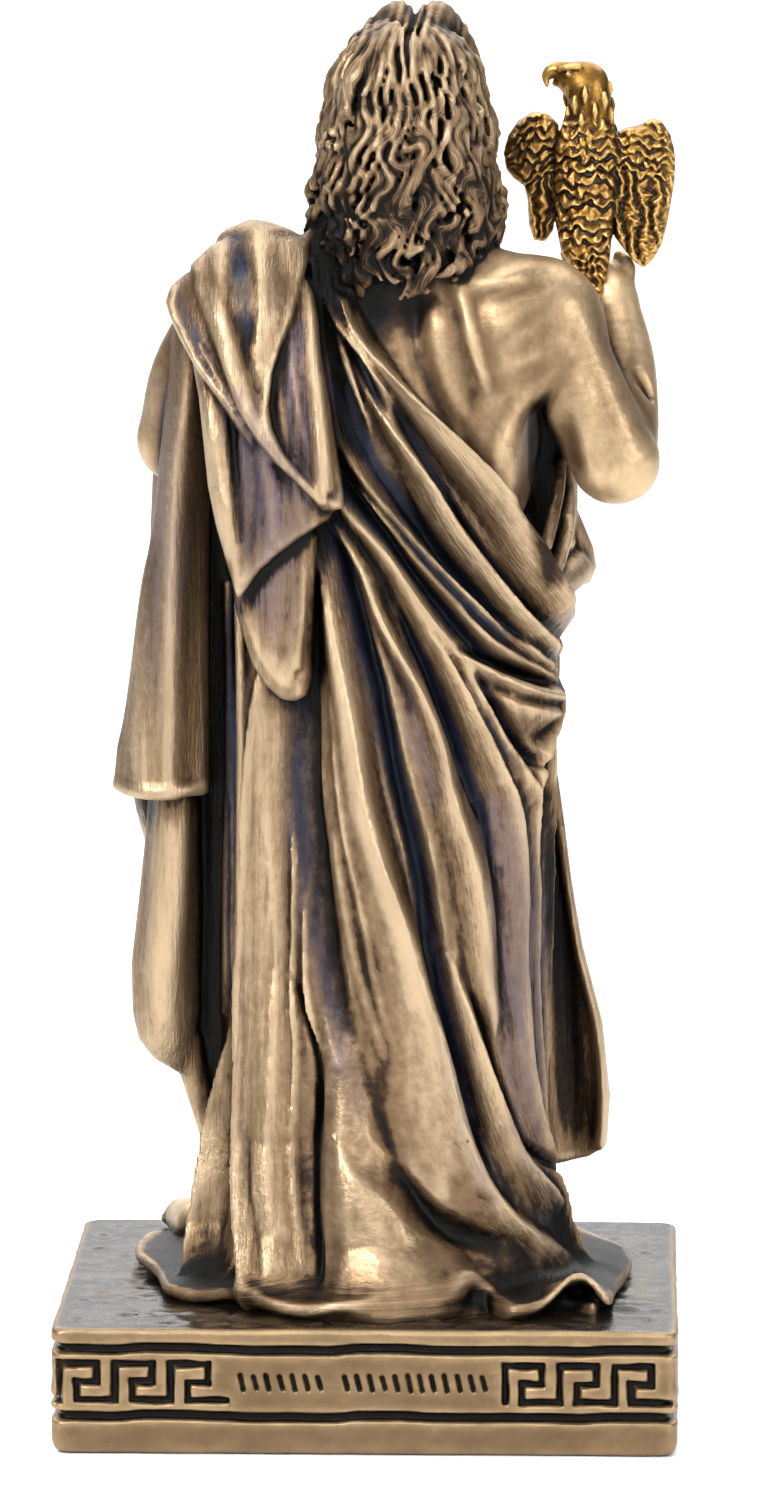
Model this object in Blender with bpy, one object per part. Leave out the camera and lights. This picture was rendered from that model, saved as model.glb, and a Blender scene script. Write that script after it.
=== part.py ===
"""A small bronze-finished resin statuette of Zeus on a Greek-key plinth, an eagle on his raised right hand.

Metres, +Z up. The origin is the middle of the plinth's underside, and the figure faces -Y.
The figure and the eagle are carved in figure units: FIGURE_HEIGHT is 80 of them, from the plinth's top.
"""

import math

import bmesh
import bpy
import numpy as np
from mathutils import Matrix, Vector

# Plinth sizes
PLINTH_WIDTH = 0.0385
PLINTH_DEPTH = 0.0340
PLINTH_HEIGHT = 0.0079
PLINTH_CORNER = 0.0008
LIP_HEIGHT = 0.0010
FOOTING_HEIGHT = 0.0022
GROOVE_HEIGHT = 0.0005
GROOVE_DEPTH = 0.0004
FRET_LINE = 0.0004
FRET_DEPTH = 0.0004
FRET_PERIOD = 0.0036
FRET_MARGIN = 0.0005
FRET_END = 0.0004
PANEL_WIDTH = 0.0168

# Figure sizes
FIGURE_HEIGHT = 0.0800
SEAT_GAP = 0.0003
UNITS_TALL = 80.0
UNIT = FIGURE_HEIGHT / UNITS_TALL
CARVING_VOXEL = 0.42 * UNIT
EAGLE_VOXEL = 0.26 * UNIT
FIGURE_DETAIL = 0.05
EAGLE_DETAIL = 0.115

BACK, FRONT = 1.0, -1.0

# The draped body's core: height, centre x, centre y, half width, half depth
CORE = [
    (-0.8, -1.2, 1.6, 12.6, 11.6),
    (1.6, -1.0, 1.4, 11.8, 10.6),
    (4.0, -0.9, 1.0, 11.0, 9.4),
    (10.0, -0.8, 0.5, 10.5, 8.4),
    (20.0, -0.9, 0.2, 10.3, 7.8),
    (30.0, -1.2, 0.1, 10.2, 7.6),
    (38.0, -1.5, 0.1, 10.3, 7.3),
    (44.0, -1.6, 0.2, 10.0, 6.8),
    (50.0, -1.4, 0.4, 8.8, 6.3),
    (56.0, -1.4, 0.6, 9.0, 6.0),
    (60.5, -1.5, 0.6, 8.8, 5.0),
    (63.5, -1.6, 0.4, 6.0, 4.0),
    (65.0, -1.8, 0.5, 3.6, 3.2),
]

# Where the hem's edge lies on the plinth, as x, y around the figure from its left side by the back
HEM = [
    (14.2, -7.0), (15.0, -0.8), (13.6, 2.6), (12.4, 6.8), (9.8, 9.6), (6.0, 11.6), (1.6, 13.8),
    (-4.0, 15.0), (-8.2, 13.2), (-11.4, 13.8), (-15.0, 13.8), (-15.6, 8.0), (-16.4, 0.0),
    (-15.8, -5.6), (-12.5, -9.8), (-6.0, -11.4), (1.0, -11.8), (8.0, -11.2),
]
HEM_TOP = 0.9

# Folds of the robe: each point is x, height, half width, proud height above the core
BACK_FOLDS = {
    "edge_roll": [
        (0.3, 60.5, 1.2, 1.3), (-2.0, 56.4, 1.3, 1.5), (-4.5, 53.2, 1.4, 1.7), (-6.9, 49.4, 1.6, 1.9),
        (-9.3, 45.8, 1.7, 2.0), (-11.2, 43.0, 1.6, 1.8),
    ],
    "under_roll": [
        (1.9, 61.1, 0.9, 1.2), (-0.4, 55.6, 0.9, 1.4), (-4.1, 49.6, 0.9, 1.6), (-8.3, 43.2, 0.9, 1.6),
        (-10.3, 41.1, 0.8, 1.4),
    ],
    "shoulder_strand": [
        (2.6, 61.5, 0.8, 1.3), (1.0, 54.0, 0.8, 1.4), (-1.7, 47.6, 0.8, 1.3), (-5.8, 42.8, 0.8, 1.2),
        (-10.9, 39.3, 0.8, 1.2),
    ],
    "swag_edge": [
        (1.6, 55.0, 0.8, 1.4), (-0.8, 48.2, 0.8, 1.5), (-3.2, 43.2, 0.8, 1.5), (-5.8, 39.6, 0.9, 1.6),
        (-8.4, 38.0, 0.9, 1.7), (-11.2, 37.5, 0.9, 1.7),
    ],
    "swag_low": [(-5.8, 39.2, 0.9, 1.2), (-7.5, 35.9, 1.0, 1.2), (-9.4, 33.1, 0.9, 1.0)],
    "long_1": [
        (-1.2, 46.5, 0.8, 1.2), (-3.9, 40.3, 1.0, 1.5), (-7.0, 34.7, 1.2, 1.6), (-9.6, 29.6, 1.3, 1.5),
        (-10.3, 20.3, 1.2, 1.2), (-10.4, 9.0, 1.2, 1.2), (-11.6, 3.0, 1.3, 1.0),
    ],
    "long_2": [
        (1.0, 47.8, 0.8, 1.0), (-1.4, 40.6, 0.9, 1.2), (-4.2, 31.6, 1.1, 1.3), (-6.6, 21.6, 1.3, 1.4),
        (-8.2, 12.0, 1.4, 1.4), (-10.6, 4.0, 1.5, 1.0),
    ],
    "long_3": [
        (2.6, 48.5, 0.8, 1.4), (1.2, 40.0, 1.0, 1.6), (-0.6, 30.7, 1.2, 1.6), (-2.6, 21.4, 1.4, 1.7),
        (-4.8, 12.8, 1.5, 1.7), (-8.2, 3.6, 1.6, 1.3),
    ],
    "long_4": [
        (2.3, 44.0, 0.9, 1.0), (1.3, 34.0, 1.2, 1.1), (0.1, 25.3, 1.4, 1.2), (-1.0, 14.3, 1.7, 1.4),
        (-2.8, 4.6, 2.2, 1.6), (-4.2, 0.8, 2.2, 1.4),
    ],
    "long_5": [
        (5.9, 38.4, 1.3, 1.4), (6.3, 29.6, 1.4, 1.5), (6.4, 20.0, 1.5, 1.6), (6.0, 9.0, 1.6, 1.8),
        (5.5, 1.0, 1.8, 2.0),
    ],
    "long_5b": [
        (4.5, 27.0, 0.9, 1.0), (4.2, 18.0, 1.1, 1.2), (3.7, 6.4, 1.3, 1.6), (3.2, 0.8, 1.3, 1.8),
    ],
    "long_6": [(8.7, 16.0, 0.9, 0.9), (9.2, 8.7, 1.4, 1.5), (9.6, 1.2, 1.8, 1.9)],
    "gap_ridge": [(8.1, 44.0, 0.8, 0.6), (8.2, 34.0, 0.8, 0.7), (8.5, 20.0, 0.8, 0.7)],
    "nape_strand": [(3.3, 61.5, 0.9, 1.2), (3.0, 54.0, 0.9, 1.4), (2.6, 48.5, 0.9, 1.3)],
}
FRONT_FOLDS = {
    "knee_fold": [
        (-8.6, 41.0, 1.5, 0.9), (-8.8, 28.0, 1.6, 1.0), (-8.4, 14.0, 1.7, 1.1), (-9.2, 0.8, 1.9, 1.3),
    ],
    "front_2": [
        (-5.4, 41.5, 1.3, 0.9), (-5.2, 28.0, 1.4, 1.2), (-5.0, 14.0, 1.5, 1.2), (-5.6, 0.8, 1.8, 1.4),
    ],
    "front_3": [
        (-1.8, 42.0, 1.2, 1.0), (-1.2, 28.0, 1.4, 1.3), (-0.8, 14.0, 1.5, 1.4), (-1.2, 0.8, 1.9, 1.5),
    ],
    "front_4": [
        (1.8, 43.0, 1.2, 1.0), (2.8, 30.0, 1.4, 1.3), (3.2, 16.0, 1.5, 1.4), (3.2, 0.8, 1.9, 1.5),
    ],
    "front_5": [
        (5.2, 44.0, 1.2, 1.0), (6.4, 30.0, 1.4, 1.2), (7.0, 16.0, 1.5, 1.2), (7.4, 0.8, 1.9, 1.4),
    ],
    "pull_high": [
        (-9.4, 37.5, 1.0, 1.0), (-3.0, 37.2, 1.1, 1.3), (3.6, 41.5, 1.1, 1.3), (7.6, 46.5, 1.0, 1.2),
    ],
    "pull_low": [
        (-9.2, 33.0, 1.0, 1.0), (-2.0, 31.0, 1.1, 1.3), (4.6, 35.5, 1.1, 1.3), (8.2, 42.0, 1.0, 1.0),
    ],
}

# Rounded forms: x, y, z, radius along the way
ROUND_FORMS = {
    "neck": [(-1.8, 1.2, 60.0, 3.4), (-2.0, 0.6, 65.0, 3.0), (-2.1, 0.2, 70.0, 3.0)],
    "right_yoke": [(-3.0, 2.0, 63.5, 2.8), (-7.5, 2.4, 61.6, 3.0), (-11.4, 1.8, 60.6, 3.2)],
    "left_yoke": [(-1.0, 2.0, 63.0, 2.6), (4.0, 1.8, 61.8, 2.9), (8.2, 0.8, 60.0, 3.2)],
    "left_side": [
        (9.4, 0.0, 56.0, 1.6), (9.4, 0.2, 42.0, 1.8), (9.6, 0.2, 28.0, 1.9), (10.0, 0.0, 12.0, 1.8),
    ],
    "right_upper_arm": [(-11.7, 1.6, 60.8, 3.4), (-13.3, 2.8, 56.2, 3.2), (-15.0, 3.4, 51.2, 2.9)],
    "right_forearm": [
        (-15.2, 3.0, 50.8, 2.7), (-15.5, 0.4, 54.6, 2.6), (-15.6, -2.2, 59.0, 1.9),
        (-15.4, -3.4, 61.0, 1.5),
    ],
    "right_hand": [(-15.3, -3.6, 61.3, 1.5), (-14.6, -4.6, 62.4, 1.5), (-13.2, -5.0, 62.9, 1.2)],
    "left_upper_arm": [(8.6, 0.8, 60.4, 3.2), (10.8, 0.2, 56.6, 2.9), (12.0, -1.0, 53.2, 2.6)],
    "left_forearm": [(12.0, -1.4, 52.8, 2.5), (11.6, -5.0, 52.6, 2.2), (9.8, -8.4, 53.4, 1.6)],
    "left_hand": [(9.4, -8.8, 53.5, 1.6), (7.6, -9.6, 53.2, 1.6), (6.4, -9.4, 52.6, 1.2)],
    "right_flank": [(-8.6, 2.4, 58.0, 3.2), (-7.4, 2.8, 51.0, 3.4), (-6.4, 2.6, 45.0, 3.2)],
    "waist_roll": [
        (-11.6, 0.5, 44.4, 1.0), (-12.8, -3.2, 45.0, 1.4), (-9.2, -5.6, 43.6, 1.8),
        (-3.4, -7.1, 43.8, 2.0), (3.0, -7.3, 46.0, 1.9), (8.0, -6.8, 49.6, 1.8),
        (11.2, -5.2, 51.4, 1.7),
    ],
    "waist_roll_top": [
        (-12.2, -1.5, 47.4, 0.8), (-10.6, -4.2, 46.8, 1.3), (-6.0, -6.0, 46.4, 1.5),
        (0.6, -6.6, 48.2, 1.5), (6.2, -6.4, 51.6, 1.4), (9.8, -5.4, 53.4, 1.2),
    ],
    "hip_tuck": [(-12.6, -3.0, 48.4, 0.8), (-13.2, -3.6, 45.8, 1.1), (-13.0, -3.8, 44.0, 0.9)],
    "right_foot": [(-5.0, -8.6, 1.2, 1.6), (-5.5, -12.2, 1.1, 1.5), (-5.9, -14.6, 0.9, 1.1)],
    "left_foot": [(11.4, -6.6, 1.6, 1.8), (12.2, -11.0, 1.2, 1.6), (12.9, -14.8, 0.9, 1.1)],
    "left_shin_cloth": [(10.6, -1.0, 14.0, 1.8), (10.6, -2.0, 8.0, 2.0), (10.6, -3.0, 2.0, 2.6)],
}

# Flat falls of cloth: x, y, z, half width, half thickness; the word says which way the cloth is thin
CLOTH_FALLS = {
    "flap": ("Y", [
        (6.8, 4.2, 65.6, 2.7, 1.2), (7.2, 6.9, 62.6, 2.9, 1.1), (7.2, 8.4, 58.6, 2.2, 1.0),
        (6.7, 9.4, 55.2, 1.5, 0.9), (5.0, 10.2, 52.4, 1.0, 0.8), (2.4, 10.6, 50.7, 0.8, 0.7),
    ]),
    "flap_left_border": ("Y", [
        (10.6, 4.2, 63.2, 0.8, 0.9), (9.7, 7.2, 60.0, 0.8, 0.9), (8.4, 8.9, 56.6, 0.7, 0.8),
        (6.6, 10.2, 53.4, 0.6, 0.8),
    ]),
    "flap_return": ("Y", [
        (4.0, 7.6, 61.4, 0.7, 0.9), (3.8, 8.6, 57.0, 1.4, 0.8), (3.1, 9.4, 52.6, 1.5, 0.7),
    ]),
    "return_border": ("Y", [
        (3.2, 7.6, 61.8, 0.5, 0.8), (2.4, 9.2, 56.6, 0.5, 0.8), (1.7, 10.2, 51.8, 0.6, 0.7),
    ]),
    "flap_middle": ("Y", [
        (9.4, 6.6, 59.0, 1.4, 1.2), (7.8, 8.2, 53.0, 2.4, 1.2), (6.4, 8.8, 48.4, 2.6, 1.0),
        (6.4, 9.0, 45.6, 1.8, 0.9),
    ]),
    "tongue": ("Y", [
        (6.0, 8.2, 49.0, 2.5, 0.9), (5.9, 8.6, 44.0, 2.2, 0.9), (5.2, 8.8, 39.4, 1.3, 0.8),
    ]),
    "left_fall": ("X", [
        (9.8, 2.6, 61.5, 2.4, 1.2), (11.0, 2.4, 56.0, 2.8, 1.1), (11.5, 1.6, 49.0, 3.6, 1.4),
        (12.0, 0.6, 41.5, 4.6, 1.8), (12.7, -0.2, 34.5, 5.2, 2.5), (13.0, -0.4, 31.8, 5.3, 2.8),
    ]),
    "left_fall_front": ("X", [
        (11.8, -3.6, 52.0, 3.4, 2.0), (12.0, -3.8, 44.0, 3.2, 1.8), (12.4, -3.6, 36.0, 3.0, 1.8),
    ]),
    "left_fall_low": ("X", [
        (11.6, 0.2, 34.0, 3.6, 1.8), (12.2, 0.6, 26.0, 3.6, 2.5), (12.4, 0.4, 18.6, 3.2, 2.4),
        (11.6, 0.0, 14.4, 2.4, 1.2),
    ]),
    "shoulder_front": ("Y", [
        (6.8, 1.0, 64.9, 2.9, 1.3), (7.0, -3.4, 62.4, 3.0, 1.1), (7.6, -6.2, 57.4, 2.9, 1.0),
        (8.2, -7.4, 52.4, 2.6, 1.0),
    ]),
    "front_hang": ("Y", [
        (-10.4, -4.6, 33.0, 1.6, 1.1), (-10.6, -5.4, 25.0, 3.0, 1.1), (-11.0, -5.8, 15.0, 3.8, 1.1),
        (-11.2, -5.8, 6.6, 3.8, 1.0),
    ]),
    "front_hang_edge": ("X", [
        (-12.2, -4.6, 29.0, 1.4, 0.7), (-13.4, -5.4, 19.0, 1.8, 0.6), (-14.4, -5.8, 11.6, 1.9, 0.6),
        (-14.3, -5.8, 6.8, 1.6, 0.6),
    ]),
}

# Swellings of the body: x, y, z, then the three radii
SWELLINGS = {
    "ribs": (-1.6, 0.2, 53.0, 9.0, 6.4, 10.5),
    "chest_top": (-1.4, -0.6, 59.0, 8.0, 5.2, 5.0),
    "right_shoulder_blade": (-8.4, 3.8, 59.2, 3.4, 3.2, 4.2),
    "right_shoulder": (-11.6, 1.6, 60.9, 3.6, 3.6, 3.6),
    "left_shoulder": (8.0, 1.4, 61.4, 3.6, 3.6, 3.4),
    "right_chest": (-5.5, -3.3, 57.6, 4.8, 2.9, 3.7),
    "left_chest": (2.5, -3.3, 57.8, 4.8, 2.9, 3.7),
    "belly": (-1.5, -3.9, 50.0, 4.6, 2.8, 5.4),
    "right_knee": (-4.6, -5.6, 22.0, 3.8, 3.2, 7.0),
    "skull": (-2.1, -0.8, 73.4, 4.4, 5.3, 5.7),
    "jaw": (-2.1, -3.4, 69.8, 3.1, 2.8, 3.2),
    "hair_crown": (-2.1, 0.5, 73.0, 5.0, 5.6, 5.9),
    "hair_nape": (-2.0, 1.8, 67.6, 5.4, 4.6, 4.6),
}

# Face and beard, centred on the head's middle plane: x from the middle, y, z, radius
HEAD_MIDDLE = -2.1
FACE_FORMS = {
    "nose": [(0.0, -6.0, 74.0, 0.45), (0.0, -6.7, 72.4, 0.6), (0.0, -6.7, 71.8, 0.7)],
    "right_brow": [(-0.5, -6.0, 74.2, 0.45), (-1.7, -5.7, 74.7, 0.5), (-2.8, -4.6, 74.3, 0.45)],
    "left_brow": [(0.5, -6.0, 74.2, 0.45), (1.7, -5.7, 74.7, 0.5), (2.8, -4.6, 74.3, 0.45)],
    "right_moustache": [(-0.2, -6.4, 70.8, 0.55), (-1.4, -6.1, 70.2, 0.6), (-2.2, -5.5, 69.0, 0.5)],
    "left_moustache": [(0.2, -6.4, 70.8, 0.55), (1.4, -6.1, 70.2, 0.6), (2.2, -5.5, 69.0, 0.5)],
    "lower_lip": [(-0.6, -6.1, 69.6, 0.4), (0.0, -6.3, 69.5, 0.45), (0.6, -6.1, 69.6, 0.4)],
    "chin_lock": [(0.0, -5.4, 69.0, 1.5), (0.0, -6.0, 66.6, 1.5), (0.0, -5.8, 64.4, 0.8)],
}
BEARD_LOCKS = 4
BEARD_SPREAD = 0.95

# Hair: height, half width and half depth of the hair's surface, and where the locks start
HAIR_SHELL = [
    (78.9, 1.8, 1.8), (77.6, 3.5, 3.6), (75.6, 4.6, 5.0), (73.0, 5.1, 5.7), (70.0, 5.5, 6.2),
    (67.0, 5.8, 6.4), (63.6, 5.4, 6.2),
]
HAIR_MIDDLE = (-2.0, 0.3)
CROWN = (-2.6, 0.8, 78.9)
LOCK_COUNT = 17
LOCK_REACH = 2.3
LOCK_RADIUS = 0.8
LOCK_WAVES = 2.6
LOCK_SWING = 0.11
FORELOCKS = [
    [(-2.6, -1.6, 78.8, 0.9), (-3.8, -3.0, 79.0, 1.1), (-5.4, -4.2, 77.0, 1.0), (-6.2, -4.0, 74.0, 0.9)],
    [(-1.8, -1.6, 78.8, 0.9), (-0.6, -3.0, 79.0, 1.1), (1.2, -4.2, 77.0, 1.0), (2.0, -4.0, 74.0, 0.9)],
]

# Eagle: where it stands on the raised right hand, then its forms from there
EAGLE_PERCH = (-13.7, -4.6, 63.3)
EAGLE_FORMS = {
    "body": [(0.0, 0.3, 3.1, 1.8), (0.1, 0.2, 5.7, 2.3), (0.2, 0.3, 8.1, 1.9)],
    "neck": [(0.2, 0.4, 8.1, 1.5), (0.4, 0.5, 10.1, 1.2), (0.8, 0.5, 11.7, 1.2)],
    "head": [(0.6, 0.5, 11.7, 1.2), (1.3, 0.5, 11.9, 1.1)],
    "beak": [(1.7, 0.5, 12.2, 0.8), (2.5, 0.5, 12.2, 0.55), (3.0, 0.5, 11.5, 0.25)],
    "left_wing_arm": [(1.1, 0.5, 7.7, 1.2), (2.7, 0.2, 8.5, 1.2), (3.8, -0.3, 7.7, 1.1)],
    "right_wing_arm": [(-0.9, 0.5, 7.5, 1.2), (-2.5, 0.8, 8.1, 1.2), (-3.8, 0.8, 7.5, 1.1)],
    "left_leg": [(0.8, 0.0, 3.1, 0.8), (0.8, -0.2, 1.6, 0.7)],
    "right_leg": [(-0.7, 0.0, 3.1, 0.8), (-0.7, -0.2, 1.7, 0.7)],
}
EAGLE_FLATS = {
    "left_wing": ("Y", [
        (3.5, -0.2, 7.7, 1.5, 0.7), (3.4, -0.1, 4.3, 1.9, 0.6), (3.1, 0.2, 0.9, 1.5, 0.5),
    ]),
    "right_wing": ("Y", [
        (-3.3, 0.7, 7.3, 1.7, 0.7), (-3.2, 0.8, 3.9, 2.0, 0.6), (-3.0, 0.9, 1.1, 0.9, 0.5),
    ]),
    "left_flank_feathers": ("Y", [(1.9, 0.3, 7.1, 1.5, 0.8), (1.7, 0.4, 3.1, 1.4, 0.7)]),
    "right_flank_feathers": ("Y", [(-1.5, 0.5, 7.1, 1.5, 0.8), (-1.5, 0.5, 4.1, 1.3, 0.7)]),
    "tail": ("Y", [
        (-0.1, 1.0, 3.5, 1.5, 0.8), (-0.2, 1.9, 1.1, 1.3, 0.6), (-0.2, 2.3, -0.9, 0.7, 0.45),
    ]),
}

CORNERS = ((-1, -1), (1, -1), (1, 1), (-1, 1))
TUBE_SIDES = 10
STEPS_PER_SPAN = 4
CORE_SIDES = 64

MATERIALS = {
    "bronze_resin": ((0.36, 0.24, 0.13), 0.38, 0.85),
    "gilded_resin": ((0.62, 0.38, 0.07), 0.34, 0.85),
    "plinth_bronze": ((0.33, 0.22, 0.12), 0.35, 0.85),
}


def smooth_path(points, steps=STEPS_PER_SPAN):
    """Points on a Catmull-Rom curve through the given ones, whose radii are carried along."""
    knots = np.array([points[0], *points, points[-1]], float)
    made = []
    for a, b, c, d in zip(knots, knots[1:], knots[2:], knots[3:]):
        slope, bend, twist = c - a, 2 * a - 5 * b + 4 * c - d, 3 * b - a - 3 * c + d
        for t in np.arange(steps) / steps:
            made.append(b + 0.5 * (slope * t + bend * t**2 + twist * t**3))
    made.append(knots[-1])
    return made


def interpolated(table, height):
    """The row of a table at this height; its first column is the height."""
    rows = np.array(sorted(table), float)
    return [float(np.interp(height, rows[:, 0], rows[:, k])) for k in range(1, rows.shape[1])]


def add_tube(work, path, thin=None):
    """A closed round tube along x, y, z, radius, or a flat one along x, y, z, half width and thickness."""
    path = [np.array(p) for p in path]
    rings = []
    for i, p in enumerate(path):
        along = Vector(path[min(i + 1, len(path) - 1)][:3] - path[max(i - 1, 0)][:3]).normalized()
        out = Vector(thin or (0.0, 1.0, 0.0))
        if thin is None and abs(along.dot(out)) > 0.8:
            out = Vector((1.0, 0.0, 0.0))
        side = along.cross(out).normalized()
        out = side.cross(along).normalized()
        wide, deep = p[3], p[4] if thin else p[3]
        centre = Vector(p[:3])
        ring = []
        for k in range(TUBE_SIDES):
            turn = 2 * math.pi * k / TUBE_SIDES
            place = centre + side * (wide * math.cos(turn)) + out * (deep * math.sin(turn))
            ring.append(work.verts.new(place * UNIT))
        rings.append((ring, centre, along, min(wide, deep)))
    for (lower, *_), (upper, *_) in zip(rings, rings[1:]):
        for k in range(TUBE_SIDES):
            n = (k + 1) % TUBE_SIDES
            work.faces.new((lower[k], lower[n], upper[n], upper[k]))
    for (ring, centre, along, radius), way in ((rings[0], -1.0), (rings[-1], 1.0)):
        pole = work.verts.new((centre + along * (way * 0.6 * radius)) * UNIT)
        for k in range(TUBE_SIDES):
            work.faces.new((ring[k], ring[(k + 1) % TUBE_SIDES], pole))


def add_ball(work, x, y, z, *radii):
    """A closed ellipsoid."""
    size = Matrix.Diagonal((*[r * UNIT for r in radii], 1.0))
    place = Matrix.Translation(Vector((x, y, z)) * UNIT) @ size
    bmesh.ops.create_icosphere(work, subdivisions=3, radius=1.0, matrix=place)


def add_stack(work, rings):
    """A closed solid through rings of points, each ring flat and with as many points."""
    made = [[work.verts.new(Vector(p) * UNIT) for p in ring] for ring in rings]
    for lower, upper in zip(made, made[1:]):
        for k in range(len(lower)):
            n = (k + 1) % len(lower)
            work.faces.new((lower[k], lower[n], upper[n], upper[k]))
    work.faces.new(made[0])
    work.faces.new(made[-1])


def core_ring(height):
    cx, cy, wide, deep = interpolated(CORE, height)
    turns = [2 * math.pi * k / CORE_SIDES for k in range(CORE_SIDES)]
    return [(cx + wide * math.cos(t), cy + deep * math.sin(t), height) for t in turns]


def core_depth(x, height, side):
    """The core's y where it faces the back (side 1) or the front (side -1), and the way out of it there."""
    cx, cy, wide, deep = interpolated(CORE, height)
    across = max(-0.97, min(0.97, (x - cx) / wide))
    rise = math.sqrt(1.0 - across**2)
    out = Vector((across / wide, side * rise / deep, 0.0)).normalized()
    return Vector((cx + across * wide, cy + side * deep * rise, height)), out


def add_fold(work, points, side):
    """A ridge of cloth lying on the core."""
    path = []
    for x, height, half_width, proud in smooth_path(points):
        on_core, out = core_depth(x, height, side)
        path.append((*(on_core + out * (proud - half_width)), half_width))
    add_tube(work, path)


def add_hem(work):
    """The cloth that spreads on the plinth: its closed edge, and the same edge drawn in above it."""
    edge = [p[:2] for p in smooth_path([(*HEM[-1], 0), *[(*p, 0) for p in HEM], (*HEM[0], 0)], 3)][3:-3]
    middle = np.mean(edge, axis=0)
    rings = []
    for height, share in ((-HEM_TOP, 0.97), (0.25, 1.0), (HEM_TOP, 0.97), (HEM_TOP + 0.9, 0.72)):
        rings.append([(*(middle + (np.array(p) - middle) * share), height) for p in edge])
    add_stack(work, rings)


def hair_point(turn, height, proud):
    """A place on the hair: turn is in radians from the back towards the figure's left."""
    wide, deep = interpolated(HAIR_SHELL, height)
    return (
        HAIR_MIDDLE[0] + (wide + proud) * math.sin(turn),
        HAIR_MIDDLE[1] + (deep + proud) * math.cos(turn),
        height,
    )


def add_hair(work):
    """Wavy locks from the crown down the back and sides of the head, and two swept up over the forehead."""
    top, bottom = HAIR_SHELL[0][0], HAIR_SHELL[-1][0]
    for k in range(LOCK_COUNT):
        spread = 2.0 * k / (LOCK_COUNT - 1) - 1.0
        low = bottom + 1.8 * abs(spread) + (0.7 if k % 2 else 0.0)
        path = [(*CROWN, LOCK_RADIUS * 0.5)]
        for share in np.linspace(0.12, 1.0, 16):
            wave = LOCK_SWING * math.sin(LOCK_WAVES * 2.0 * math.pi * share + 1.9 * k)
            turn = spread * LOCK_REACH * (0.78 + 0.22 * share) + wave
            height = top + (low - top) * share
            swell = LOCK_RADIUS * (0.75 + 0.35 * share)
            path.append((*hair_point(turn, height, 0.0), swell))
        add_tube(work, path)
    for lock in FORELOCKS:
        add_tube(work, smooth_path(lock))


def add_face(work):
    """Brow, nose, moustache and a beard of short tapering locks."""
    for form in FACE_FORMS.values():
        add_tube(work, smooth_path([(HEAD_MIDDLE + x, y, z, r) for x, y, z, r in form]))
    for k in range(BEARD_LOCKS):
        for way in (-1.0, 1.0):
            out = way * BEARD_SPREAD * (k + 0.7)
            lift = 0.9 * k
            lock = [
                (HEAD_MIDDLE + 0.9 * out, -5.2 + 0.5 * k, 69.4 + 0.7 * lift, 0.8),
                (HEAD_MIDDLE + out, -5.7 + 0.75 * k, 67.4 + lift, 0.95),
                (HEAD_MIDDLE + 0.85 * out, -5.5 + 0.7 * k, 65.2 + lift, 0.5),
            ]
            add_tube(work, smooth_path(lock))


def add_forms(work, round_forms, flat_forms):
    axes = {"X": (1.0, 0.0, 0.0), "Y": (0.0, 1.0, 0.0)}
    for form in round_forms.values():
        add_tube(work, smooth_path(form))
    for axis, form in flat_forms.values():
        add_tube(work, smooth_path(form), axes[axis])


def material(name):
    """A Principled surface of this name's colour, roughness and metallic value."""
    colour, roughness, metallic = MATERIALS[name]
    made = bpy.data.materials.new(name)
    made.use_nodes = True
    shader = made.node_tree.nodes["Principled BSDF"]
    shader.inputs["Base Color"].default_value = (*colour, 1.0)
    shader.inputs["Roughness"].default_value = roughness
    shader.inputs["Metallic"].default_value = metallic
    return made


def new_object(name, work, material_name, parent=None):
    mesh = bpy.data.meshes.new(name)
    work.to_mesh(mesh)
    work.free()
    made = bpy.data.objects.new(name, mesh)
    made.data.materials.append(material(material_name))
    made.parent = parent
    bpy.context.scene.collection.objects.link(made)
    return made


def trim_underside(carved, parent):
    """Cuts a figure off flat at the level of its seat."""
    work = bmesh.new()
    size = Matrix.Diagonal((2 * PLINTH_WIDTH, 2 * PLINTH_DEPTH, PLINTH_HEIGHT, 1.0))
    bmesh.ops.create_cube(work, size=1.0, matrix=Matrix.Translation((0, 0, -PLINTH_HEIGHT / 2)) @ size)
    cutter = new_object("seat_cutter", work, "bronze_resin", parent)
    hide_cutter(cutter)
    cut = carved.modifiers.new("Seat", "BOOLEAN")
    cut.operation = "DIFFERENCE"
    cut.solver = "EXACT"
    cut.object = cutter


def hide_cutter(cutter):
    cutter.hide_render = True
    cutter.display_type = "WIRE"


def fuse(carved, voxel, detail):
    """Fuses overlapping forms into one skin, eases its steps and thins it to the faces it needs."""
    skin = carved.modifiers.new("Fuse", "REMESH")
    skin.mode = "VOXEL"
    skin.voxel_size = voxel
    ease = carved.modifiers.new("Ease", "SMOOTH")
    ease.iterations = 2
    thin = carved.modifiers.new("Thin", "DECIMATE")
    thin.ratio = detail
    for polygon in carved.data.polygons:
        polygon.use_smooth = True


def make_figure(parent):
    work = bmesh.new()
    heights = [row[0] for row in CORE]
    add_stack(work, [core_ring(h) for h in heights])
    add_hem(work)
    for points in BACK_FOLDS.values():
        add_fold(work, points, BACK)
    for points in FRONT_FOLDS.values():
        add_fold(work, points, FRONT)
    for swelling in SWELLINGS.values():
        add_ball(work, *swelling)
    add_forms(work, ROUND_FORMS, CLOTH_FALLS)
    add_hair(work)
    add_face(work)
    figure = new_object("zeus_figure", work, "bronze_resin", parent)
    fuse(figure, CARVING_VOXEL, FIGURE_DETAIL)
    trim_underside(figure, parent)


def make_eagle(parent):
    work = bmesh.new()
    add_forms(work, EAGLE_FORMS, EAGLE_FLATS)
    eagle = new_object("eagle", work, "gilded_resin", parent)
    eagle.location = Vector(EAGLE_PERCH) * UNIT
    fuse(eagle, EAGLE_VOXEL, EAGLE_DETAIL)


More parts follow.
